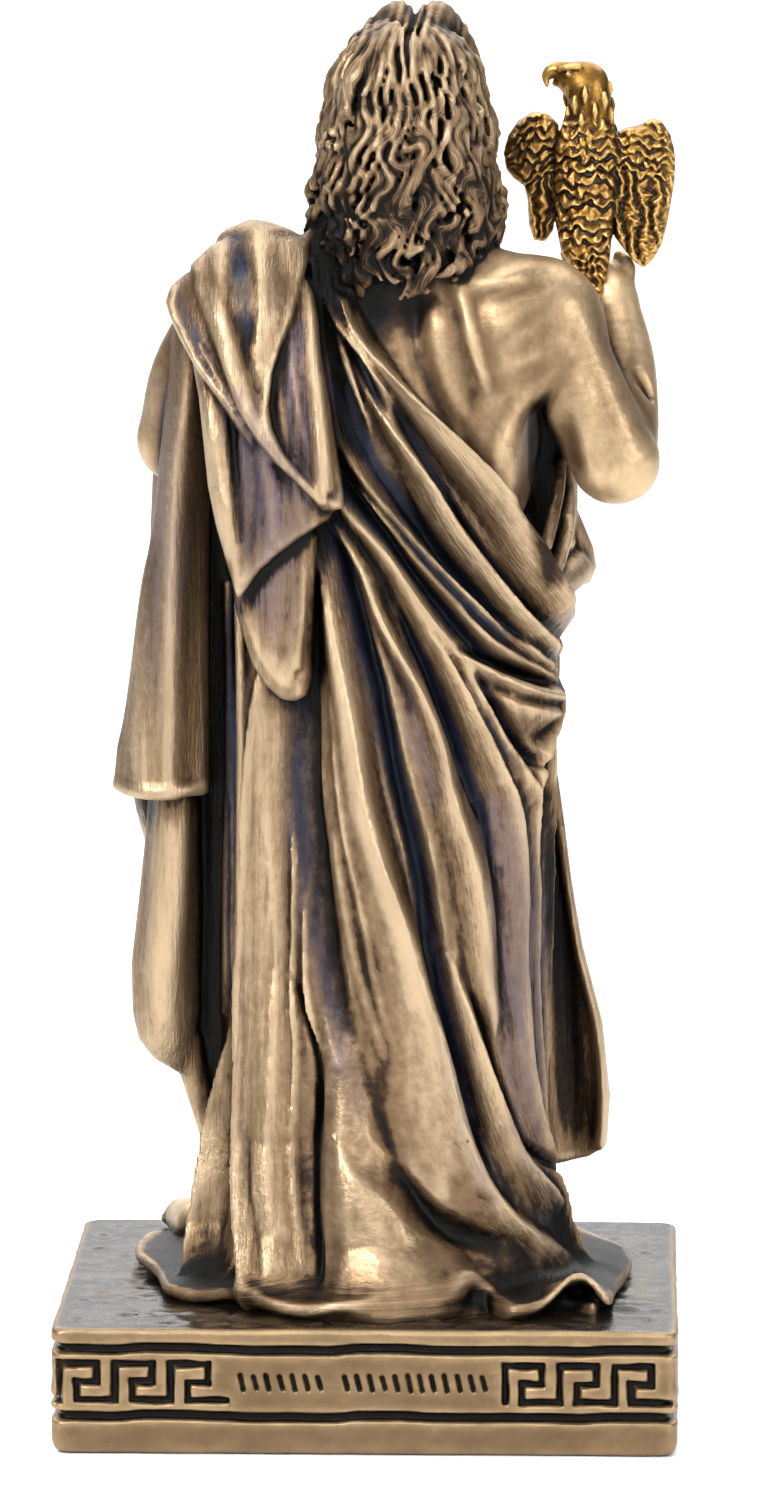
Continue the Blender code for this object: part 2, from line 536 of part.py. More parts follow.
def fret_line(period, low, high, count):
    """The corners of a Greek key's single line, from its lower left, with this many periods."""
    middle = (low + high) / 2
    points = [(0.0, low)]
    for k in range(count):
        start = k * period
        points += [(start, high), (start + 0.68 * period, high), (start + 0.68 * period, middle)]
        points += [(start + 0.32 * period, middle), (start + 0.32 * period, low), (start + period, low)]
    return points


def line_outline(points, width):
    """The closed outline of a square-cornered line of this width."""
    left, right = [], []
    for i, (x, z) in enumerate(points):
        before = points[i - 1] if i else None
        after = points[i + 1] if i + 1 < len(points) else None
        normals = []
        for a, b in ((before, (x, z)), ((x, z), after)):
            if a and b:
                length = abs(b[0] - a[0]) + abs(b[1] - a[1])
                normals.append((-(b[1] - a[1]) / length, (b[0] - a[0]) / length))
        across = [sum(n[k] for n in normals) * width / 2 for k in (0, 1)]
        left.append((x + across[0], z + across[1]))
        right.append((x - across[0], z - across[1]))
    return left + right[::-1]


def add_fret_cutter(work, start, along, out, length, low, high):
    """A Greek-key groove cutter of this length, from start along a face that looks out."""
    count = round(length / FRET_PERIOD)
    period = length / count
    outline = line_outline(fret_line(period, low, high, count), FRET_LINE)
    above = max(FRET_DEPTH, PLINTH_CORNER)
    inner = [work.verts.new(start + along * x + Vector((0, 0, z)) - out * FRET_DEPTH) for x, z in outline]
    outer = [work.verts.new(start + along * x + Vector((0, 0, z)) + out * above) for x, z in outline]
    work.faces.new(inner)
    work.faces.new(outer)
    for k in range(len(outline)):
        n = (k + 1) % len(outline)
        work.faces.new((inner[k], inner[n], outer[n], outer[k]))


def fret_runs():
    """The runs of the key: start, direction, way out, length. The back has a bare panel between two."""
    half_x, half_y = PLINTH_WIDTH / 2, PLINTH_DEPTH / 2
    inset = FRET_END + FRET_LINE / 2
    runs = []
    for along, out, half_run, half_out in (
        (Vector((1, 0, 0)), Vector((0, -1, 0)), half_x, half_y),
        (Vector((0, 1, 0)), Vector((1, 0, 0)), half_y, half_x),
        (Vector((0, -1, 0)), Vector((-1, 0, 0)), half_y, half_x),
    ):
        runs.append((out * half_out - along * (half_run - inset), along, out, 2 * (half_run - inset)))
    along, out = Vector((-1, 0, 0)), Vector((0, 1, 0))
    length = half_x - inset - PANEL_WIDTH / 2 - FRET_LINE / 2
    for nearest in (-(half_x - inset), PANEL_WIDTH / 2 + FRET_LINE / 2):
        runs.append((out * half_y + along * nearest, along, out, length))
    return runs


def add_groove(work, bottom):
    """A band cutter that leaves a groove of this height all round the plinth's sides."""
    top = bottom + GROOVE_HEIGHT
    reach = GROOVE_DEPTH
    loops = []
    for spread, z in ((reach, bottom), (reach, top), (-reach, top), (-reach, bottom)):
        half_x, half_y = PLINTH_WIDTH / 2 + spread, PLINTH_DEPTH / 2 + spread
        loops.append([work.verts.new((sx * half_x, sy * half_y, z)) for sx, sy in CORNERS])
    for a, b in zip(loops, loops[1:] + loops[:1]):
        for k in range(len(CORNERS)):
            n = (k + 1) % len(CORNERS)
            work.faces.new((a[k], a[n], b[n], b[k]))


def make_plinth():
    work = bmesh.new()
    size = Matrix.Diagonal((PLINTH_WIDTH, PLINTH_DEPTH, PLINTH_HEIGHT, 1.0))
    bmesh.ops.create_cube(work, size=1.0, matrix=Matrix.Translation((0, 0, PLINTH_HEIGHT / 2)) @ size)
    upright = [e for e in work.edges if abs(e.verts[0].co.z - e.verts[1].co.z) > PLINTH_HEIGHT / 2]
    bmesh.ops.bevel(work, geom=upright, offset=PLINTH_CORNER, segments=2, profile=0.5, affect="EDGES")
    plinth = new_object("plinth", work, "plinth_bronze")

    band_low = FOOTING_HEIGHT + GROOVE_HEIGHT
    band_high = PLINTH_HEIGHT - LIP_HEIGHT - GROOVE_HEIGHT
    low, high = band_low + FRET_MARGIN + FRET_LINE / 2, band_high - FRET_MARGIN - FRET_LINE / 2
    cutters = bmesh.new()
    for start, along, out, length in fret_runs():
        add_fret_cutter(cutters, start, along, out, length, low, high)
    for bottom in (FOOTING_HEIGHT, band_high):
        add_groove(cutters, bottom)
    bmesh.ops.recalc_face_normals(cutters, faces=cutters.faces)
    cutter = new_object("plinth_cutter", cutters, "plinth_bronze")
    hide_cutter(cutter)
    cut = plinth.modifiers.new("Carve", "BOOLEAN")
    cut.operation = "DIFFERENCE"
    cut.solver = "EXACT"
    cut.object = cutter


def main():
    for obj in list(bpy.data.objects):
        bpy.data.objects.remove(obj)
    make_plinth()
    stand = bpy.data.objects.new("figure_stand", None)
    stand.location = (0.0, 0.0, PLINTH_HEIGHT + SEAT_GAP)
    bpy.context.scene.collection.objects.link(stand)
    make_figure(stand)
    make_eagle(stand)


main()
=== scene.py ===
"""Visual model of the bronze-finished statuette: a draped figure, a gilt eagle and a Greek-key plinth.

Each piece is carved as a distance field on a grid, in millimetres, then meshed. Heights of the figure are
from the plinth's top. Relief is drawn on flat maps that wrap the body or lie on a sheet of cloth. A stroke on
a map is a list of points: two places, the width towards the first axis and the width away from it, or one
number for both, and the height.
"""

import math

import bpy
import numpy as np
import openvdb
from mathutils import Matrix, Vector


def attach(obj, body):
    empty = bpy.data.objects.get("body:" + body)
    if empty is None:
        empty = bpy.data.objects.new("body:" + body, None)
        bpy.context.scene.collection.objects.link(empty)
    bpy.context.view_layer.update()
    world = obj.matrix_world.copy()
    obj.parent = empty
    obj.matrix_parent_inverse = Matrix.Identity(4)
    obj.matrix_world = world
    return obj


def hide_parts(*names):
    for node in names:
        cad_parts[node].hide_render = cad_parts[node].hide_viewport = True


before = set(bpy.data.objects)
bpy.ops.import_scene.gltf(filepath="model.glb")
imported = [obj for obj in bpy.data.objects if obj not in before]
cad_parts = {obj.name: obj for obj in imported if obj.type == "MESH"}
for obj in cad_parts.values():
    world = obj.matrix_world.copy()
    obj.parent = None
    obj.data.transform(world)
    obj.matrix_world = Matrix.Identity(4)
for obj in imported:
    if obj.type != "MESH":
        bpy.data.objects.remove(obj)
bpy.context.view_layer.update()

FIGURE_STEP, EAGLE_STEP, PLINTH_STEP = ((0.17, 0.085, 0.11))
FOLD_MAP_STEP = 0.07
SKIN_MAP_STEP = 0.1
PAINT_STEP = 0.15
FIGURE_FACES, EAGLE_FACES, PLINTH_FACES = 190000, 90000, 120000
FIGURE_BASE = 8.0
FAR = 3.0
WRAP = 9.6
TURN = 2 * math.pi * WRAP

# Sections of the draped body: height, centre x and y, half width, half depth
CORE = [
    (-1.2, -1.2, 1.6, 12.8, 11.8), (0.2, -1.2, 1.6, 12.4, 11.4), (1.6, -1, 1.4, 11.6, 10.4),
    (4, -0.9, 1, 10.8, 9.2), (10, -0.8, 0.5, 10.3, 8.2), (20, -0.9, 0.2, 10.1, 7.6),
    (30, -1.2, 0.1, 10.1, 7.4), (38, -1.5, 0.1, 10.2, 7.2), (44, -1.6, 0.2, 9.8, 6.7),
    (50, -1.4, 0.4, 8.8, 6.2), (56, -1.4, 0.6, 8.8, 5.8), (60.5, -1.5, 0.6, 8.4, 4.9),
    (63.5, -1.6, 0.4, 6, 4), (65.5, -1.8, 0.5, 3.4, 3)
]


def rise(value, start, length):
    """From 0 at the start to 1 a length further on."""
    return np.clip((value - start) / length, 0, 1)


def fall(value, start, length):
    """From 0 at the start to 1 a length further down."""
    return np.clip((start - value) / length, 0, 1)


def ease(t):
    return t * t * (3 - 2 * t)


def bell(value, width):
    return np.exp(-((value / width) ** 2))


def smooth_path(points, steps=6):
    """Points on a Catmull-Rom curve through the given ones, with everything else they carry."""
    knots = np.array([points[0], *points, points[-1]], float)
    made = []
    for a, b, c, d in zip(knots, knots[1:], knots[2:], knots[3:]):
        for t in np.arange(steps) / steps:
            slope, bend, twist = c - a, 2 * a - 5 * b + 4 * c - d, 3 * b - a - 3 * c + d
            made.append(b + 0.5 * (slope * t + bend * t**2 + twist * t**3))
    made.append(knots[-1])
    return np.array(made)


def smooth_min(a, b, k):
    h = np.maximum(k - np.abs(a - b), 0.0) / k
    return np.minimum(a, b) - h * h * (k * 0.25)


def smooth_max(a, b, k):
    return -smooth_min(-a, -b, k)


def round_distance(*parts):
    """About how far a place is outside an ellipse or ellipsoid, from each axis's offset and radius."""
    k0 = np.sqrt(sum((x / r) ** 2 for x, r in parts)) + 1e-6
    k1 = np.sqrt(sum((x / r**2) ** 2 for x, r in parts)) + 1e-6
    return k0 * (k0 - 1) / k1


def value_noise(shape, cell, seed):
    """Smooth noise from -1 to 1 on a 2-D grid; cell is the blob size in samples on each axis."""
    rng = np.random.default_rng(seed)
    count = [int(s / c) + 3 for s, c in zip(shape, cell)]
    grid = rng.uniform(-1, 1, count)
    for axis in (0, 1):
        place = np.arange(shape[axis]) / cell[axis]
        low = place.astype(int)
        t = ease(place - low)
        t = t[:, None] if axis == 0 else t[None, :]
        grid = np.take(grid, low, axis) * (1 - t) + np.take(grid, low + 1, axis) * t
    return grid.astype(np.float32)


def two_sided(points):
    """A stroke's points with both widths written out."""
    return [(*p[:3], *p[-2:]) for p in points]


def faded(points, start=0.7, end=0.7):
    """The same stroke with its height running out at both ends."""
    made = list(points)
    ends = ((0, points[0], points[1], start), (len(made) + 1, points[-1], points[-2], end))
    for place, one, two, reach in ends:
        ahead = [a + reach * (a - b) for a, b in zip(one[:2], two[:2])]
        made.insert(place, [*ahead, one[2] * 0.6, one[3] * 0.6, 0.0])
    return made


def axes_over(low, high, step):
    return [l + step * np.arange(int(math.ceil((h - l) / step)) + 1) for l, h in zip(low, high)]


class Canvas:
    """A height map over two axes, in mm."""

    def __init__(self, axes, step):
        self.a, self.b = axes
        self.step = step
        self.low = np.array([self.a[0], self.b[0]])
        self.shape = (len(self.a), len(self.b))
        self.h = np.zeros(self.shape, np.float32)

    def nearest(self, path, reach):
        """Distance to a curve, the side of it (positive towards +a) and what the curve carries there."""
        best = np.full(self.shape, 99.0, np.float32)
        side = np.zeros(self.shape, np.float32)
        carried = np.zeros((path.shape[1] - 2, *self.shape), np.float32)
        for p, q in zip(path, path[1:]):
            low, high = np.minimum(p, q)[:2] - reach, np.maximum(p, q)[:2] + reach
            i0, j0 = np.maximum(((low - self.low) / self.step).astype(int), 0)
            i1, j1 = np.minimum(((high - self.low) / self.step).astype(int) + 2, self.shape)
            dx, dy = q[:2] - p[:2]
            length = math.hypot(dx, dy)
            if i0 >= i1 or j0 >= j1 or length < 1e-6:
                continue
            A, B = self.a[i0:i1, None] - p[0], self.b[None, j0:j1] - p[1]
            t = np.clip((A * dx + B * dy) / length**2, 0, 1)
            away = np.hypot(A - t * dx, B - t * dy)
            normal = np.array([dy, -dx]) / length
            if normal[0] < 0:
                normal = -normal
            win = (slice(i0, i1), slice(j0, j1))
            closer = away < best[win]
            best[win] = np.where(closer, away, best[win])
            side[win] = np.where(closer, A * normal[0] + B * normal[1], side[win])
            for k in range(len(carried)):
                carried[k][win] = np.where(closer, p[2 + k] + t * (q[2 + k] - p[2 + k]), carried[k][win])
        return best, side, carried

    def ridge(self, stroke, power=1.0, how="add", crested=False):
        """A ridge along a stroke, added to the map or joined to it where it stands higher."""
        path = smooth_path(two_sided(stroke))
        reach = float(np.max(path[:, 2:4])) + self.step
        best, side, (plus, minus, height) = self.nearest(path, reach)
        width = np.maximum(np.where(side > 0, plus, minus), 1e-3)
        away = (np.hypot(best, 0.10) - 0.10) / width if crested else (best / width) ** 2
        shape = np.clip(1.0 - away, 0, 1) ** power * height
        if how == "add":
            self.h += shape
        else:
            self.h = np.where(best < reach, smooth_max(self.h, np.where(shape > 0, shape, -9.0), 0.2), self.h)

    def roughen(self, height, wide, tall, seed):
        self.h += height * value_noise(self.shape, (wide / self.step, tall / self.step), seed)

    def polygon(self, outline):
        """Signed distance to a closed outline, negative inside."""
        pts = np.array(outline, float)
        A, B = self.a[:, None], self.b[None, :]
        best = np.full(self.shape, 1e9)
        inside = np.zeros(self.shape, bool)
        for p, q in zip(pts, np.roll(pts, -1, 0)):
            dx, dy = q - p
            t = np.clip(((A - p[0]) * dx + (B - p[1]) * dy) / (dx * dx + dy * dy + 1e-12), 0, 1)
            best = np.minimum(best, np.hypot(A - p[0] - t * dx, B - p[1] - t * dy))
            if dy:
                crosses = ((p[1] <= B) & (q[1] > B)) | ((q[1] <= B) & (p[1] > B))
                inside ^= crosses & (A < p[0] + (B - p[1]) * dx / dy)
        return np.where(inside, -best, best).astype(np.float32)

    def at(self, a, b):
        """The map's heights at any places."""
        i = np.clip((np.asarray(a) - self.low[0]) / self.step, 0, self.shape[0] - 1.001)
        j = np.clip((np.asarray(b) - self.low[1]) / self.step, 0, self.shape[1] - 1.001)
        i0, j0 = i.astype(int), j.astype(int)
        s, t = i - i0, j - j0
        low = self.h[i0, j0] * (1 - t) + self.h[i0, j0 + 1] * t
        high = self.h[i0 + 1, j0] * (1 - t) + self.h[i0 + 1, j0 + 1] * t
        return low * (1 - s) + high * s


def new_canvas(low, high, step):
    return Canvas(axes_over(low, high, step), step)


class Field:
    """A distance field on a grid, in mm, negative inside the solid."""

    def __init__(self, axes, step):
        self.axes, self.step = axes, step
        self.low = np.array([axis[0] for axis in axes])
        self.shape = tuple(len(axis) for axis in axes)
        self.d = np.full(self.shape, FAR, np.float32)

    def copy_empty(self):
        return Field(self.axes, self.step)

    def span(self, axis, low, high):
        """The stretch of one axis between two places."""
        start = int(max((low - self.low[axis]) / self.step, 0))
        stop = int(min((high - self.low[axis]) / self.step + 2, self.shape[axis]))
        return slice(start, max(start, stop))

    def window(self, low, high):
        """The part of the grid between two corners, with its coordinates."""
        win = tuple(self.span(k, low[k], high[k]) for k in range(3))
        X, Y, Z = [axis[span].astype(np.float32) for axis, span in zip(self.axes, win)]
        return win, X[:, None, None], Y[None, :, None], Z[None, None, :]

    def merge(self, win, d, blend, dig=False):
        """Joins a form to the solid, or digs it out, with a soft seam."""
        if dig:
            self.d[win] = smooth_max(self.d[win], -d, blend)
        else:
            self.d[win] = smooth_min(self.d[win], d, blend)

    def ball(self, centre, radii, blend=0.4, dig=False):
        c, r = np.array(centre, float), np.array(radii, float)
        win, X, Y, Z = self.window(c - r - 1.2, c + r + 1.2)
        d = round_distance((X - c[0], r[0]), (Y - c[1], r[1]), (Z - c[2], r[2]))
        self.merge(win, d, blend, dig)

    def tube(self, points, blend=0.3, steps=5, dig=False, smooth=True):
        """A round tube along x, y, z, radius."""
        path = smooth_path(points, steps) if smooth else np.array(points, float)
        reach = path[:, 3].max() + 0.9
        win = self.window(path[:, :3].min(0) - reach, path[:, :3].max(0) + reach)[0]
        made = np.full(self.d[win].shape, FAR, np.float32)
        for p, q in zip(path, path[1:]):
            r = max(p[3], q[3]) + 0.8
            sub, x, y, z = self.window(np.minimum(p, q)[:3] - r, np.maximum(p, q)[:3] + r)
            local = tuple(slice(s.start - w.start, s.stop - w.start) for s, w in zip(sub, win))
            ax, ay, az = q[:3] - p[:3]
            length2 = ax * ax + ay * ay + az * az + 1e-9
            t = np.clip(((x - p[0]) * ax + (y - p[1]) * ay + (z - p[2]) * az) / length2, 0, 1)
            d = np.sqrt((x - p[0] - t * ax) ** 2 + (y - p[1] - t * ay) ** 2 + (z - p[2] - t * az) ** 2)
            d -= p[3] + t * (q[3] - p[3])
            np.minimum(made[local], d, out=made[local])
        self.merge(win, made, blend, dig)

    def band(self, points, thin, blend=0.3):
        """An elliptic tube along x, y, z, half width, half thickness; thin is the direction it is thin in."""
        path = smooth_path(points)
        reach = path[:, 3:5].max() + 0.9
        win, X, Y, Z = self.window(path[:, :3].min(0) - reach, path[:, :3].max(0) + reach)
        made = np.full(self.d[win].shape, FAR, np.float32)
        for p, q in zip(path, path[1:]):
            along = q[:3] - p[:3]
            length2 = float(along @ along) + 1e-9
            unit = along / math.sqrt(length2)
            n = np.array(thin, float) - unit * float(unit @ np.array(thin, float))
            n /= np.linalg.norm(n)
            x, y, z = X - p[0], Y - p[1], Z - p[2]
            t = np.clip((x * along[0] + y * along[1] + z * along[2]) / length2, 0, 1)
            x, y, z = x - t * along[0], y - t * along[1], z - t * along[2]
            through = x * n[0] + y * n[1] + z * n[2]
            across = np.sqrt(np.maximum(x * x + y * y + z * z - through * through, 0))
            wide, thick = p[3] + t * (q[3] - p[3]), p[4] + t * (q[4] - p[4])
            np.minimum(made, round_distance((across, wide), (through, thick)), out=made)
        self.merge(win, made, blend)

    def sheet(self, plane, outline, surface, thick, rim=0.4, strokes=(), blend=0.25, bump=None, way=1.0):
        """A sheet of cloth: outline on a plane, its outer surface over that plane, and its thickness."""
        u, v, w = {"xz": (0, 2, 1), "yz": (1, 2, 0), "xy": (0, 1, 2)}[plane]
        low, high = np.min(outline, 0) - 1.3, np.max(outline, 0) + 1.3
        win = [None, None, None]
        win[u], win[v] = self.span(u, low[0], high[0]), self.span(v, low[1], high[1])
        canvas = Canvas((self.axes[u][win[u]], self.axes[v][win[v]]), self.step)
        edge = canvas.polygon(outline)
        for points, power in strokes:
            canvas.ridge(points, power)
        A, B = canvas.a[:, None], canvas.b[None, :]
        base = surface(A, B) + np.zeros(canvas.shape)
        if bump is not None:
            canvas.h += bump(A, B, edge)
        top = base + way * canvas.h
        under = top - way * thick
        scale = 1.0 / np.sqrt(1 + np.hypot(*np.gradient(base, self.step)) ** 2)
        win[w] = self.span(w, min(top.min(), under.min()) - 1.2, max(top.max(), under.max()) + 1.2)
        W = self.axes[w][win[w]].astype(np.float32)
        middle = (top - way * thick / 2).astype(np.float32)
        d = (np.abs(W[None, None, :] - middle[:, :, None]) - thick / 2) * scale[:, :, None].astype(np.float32)
        r = min(rim, thick * 0.49)
        a, b = d + r, edge[:, :, None] + r
        d = np.minimum(np.maximum(a, b), 0) + np.hypot(np.maximum(a, 0), np.maximum(b, 0)) - r
        self.merge(tuple(win), np.transpose(d, np.argsort([u, v, w])).astype(np.float32), blend)


def new_field(low, high, step):
    return Field(axes_over(low, high, step), step)


def sections_at(rows, z):
    """Centre x and y, half width and half depth of a stack of sections at a height."""
    table = np.array(rows, float)
    return [np.interp(z, table[:, 0], table[:, n]) for n in range(1, 5)]


def stack_distance(field, rows, canvas=None):
    """Distance to a stack of elliptic sections, raised by a map that is wrapped round it."""
    first, last = rows[0][0], rows[-1][0]
    X = field.axes[0][:, None].astype(np.float32)
    Y = field.axes[1][None, :].astype(np.float32)
    made = np.full(field.shape, FAR, np.float32)
    for k, z in enumerate(field.axes[2]):
        if z < first - 1 or z > last + 1:
            continue
        cx, cy, wide, deep = sections_at(rows, z)
        d = round_distance((X - cx, wide), (Y - cy, deep))
        if canvas is not None:
            wrapped = np.arctan2((X - cx) / wide, (Y - cy) / deep) * WRAP + 0.07 * math.sin(0.55 * z)
            j = np.clip((z - canvas.low[1]) / canvas.step, 0, canvas.shape[1] - 1.001)
            row = canvas.h[:, int(j)] * (1 - j % 1) + canvas.h[:, int(j) + 1] * (j % 1)
            d = d - np.interp(wrapped.ravel(), canvas.a, row).reshape(d.shape).astype(np.float32)
        made[:, :, k] = np.maximum(d, max(first - z, z - last))
    return made


def wrap(x, z, side=1.0):
    """The wrapped coordinate of a point x, z of the core's back (side 1) or front (side -1)."""
    cx, _, wide, _ = sections_at(CORE, z)
    turn = math.asin(max(-0.995, min(0.995, (x - cx) / wide)))
    if side < 0:
        turn = math.copysign(math.pi, turn) - turn
    return turn * WRAP


# How a kind of fold is drawn: power of its profile, growth of its widths, how it is laid on, sharp crest
FOLD_KINDS = {
    "crest": (1.35, 2.0, "max", True),
    "wide": (1.35, 1.0, "max", True),
    "roll": (1.0, 1.0, "max", False),
    "fan": (1.0, 1.25, "max", False),
    "line": (1.0, 1.0, "add", False),
    "face": (1.4, 1.0, "add", False),
}
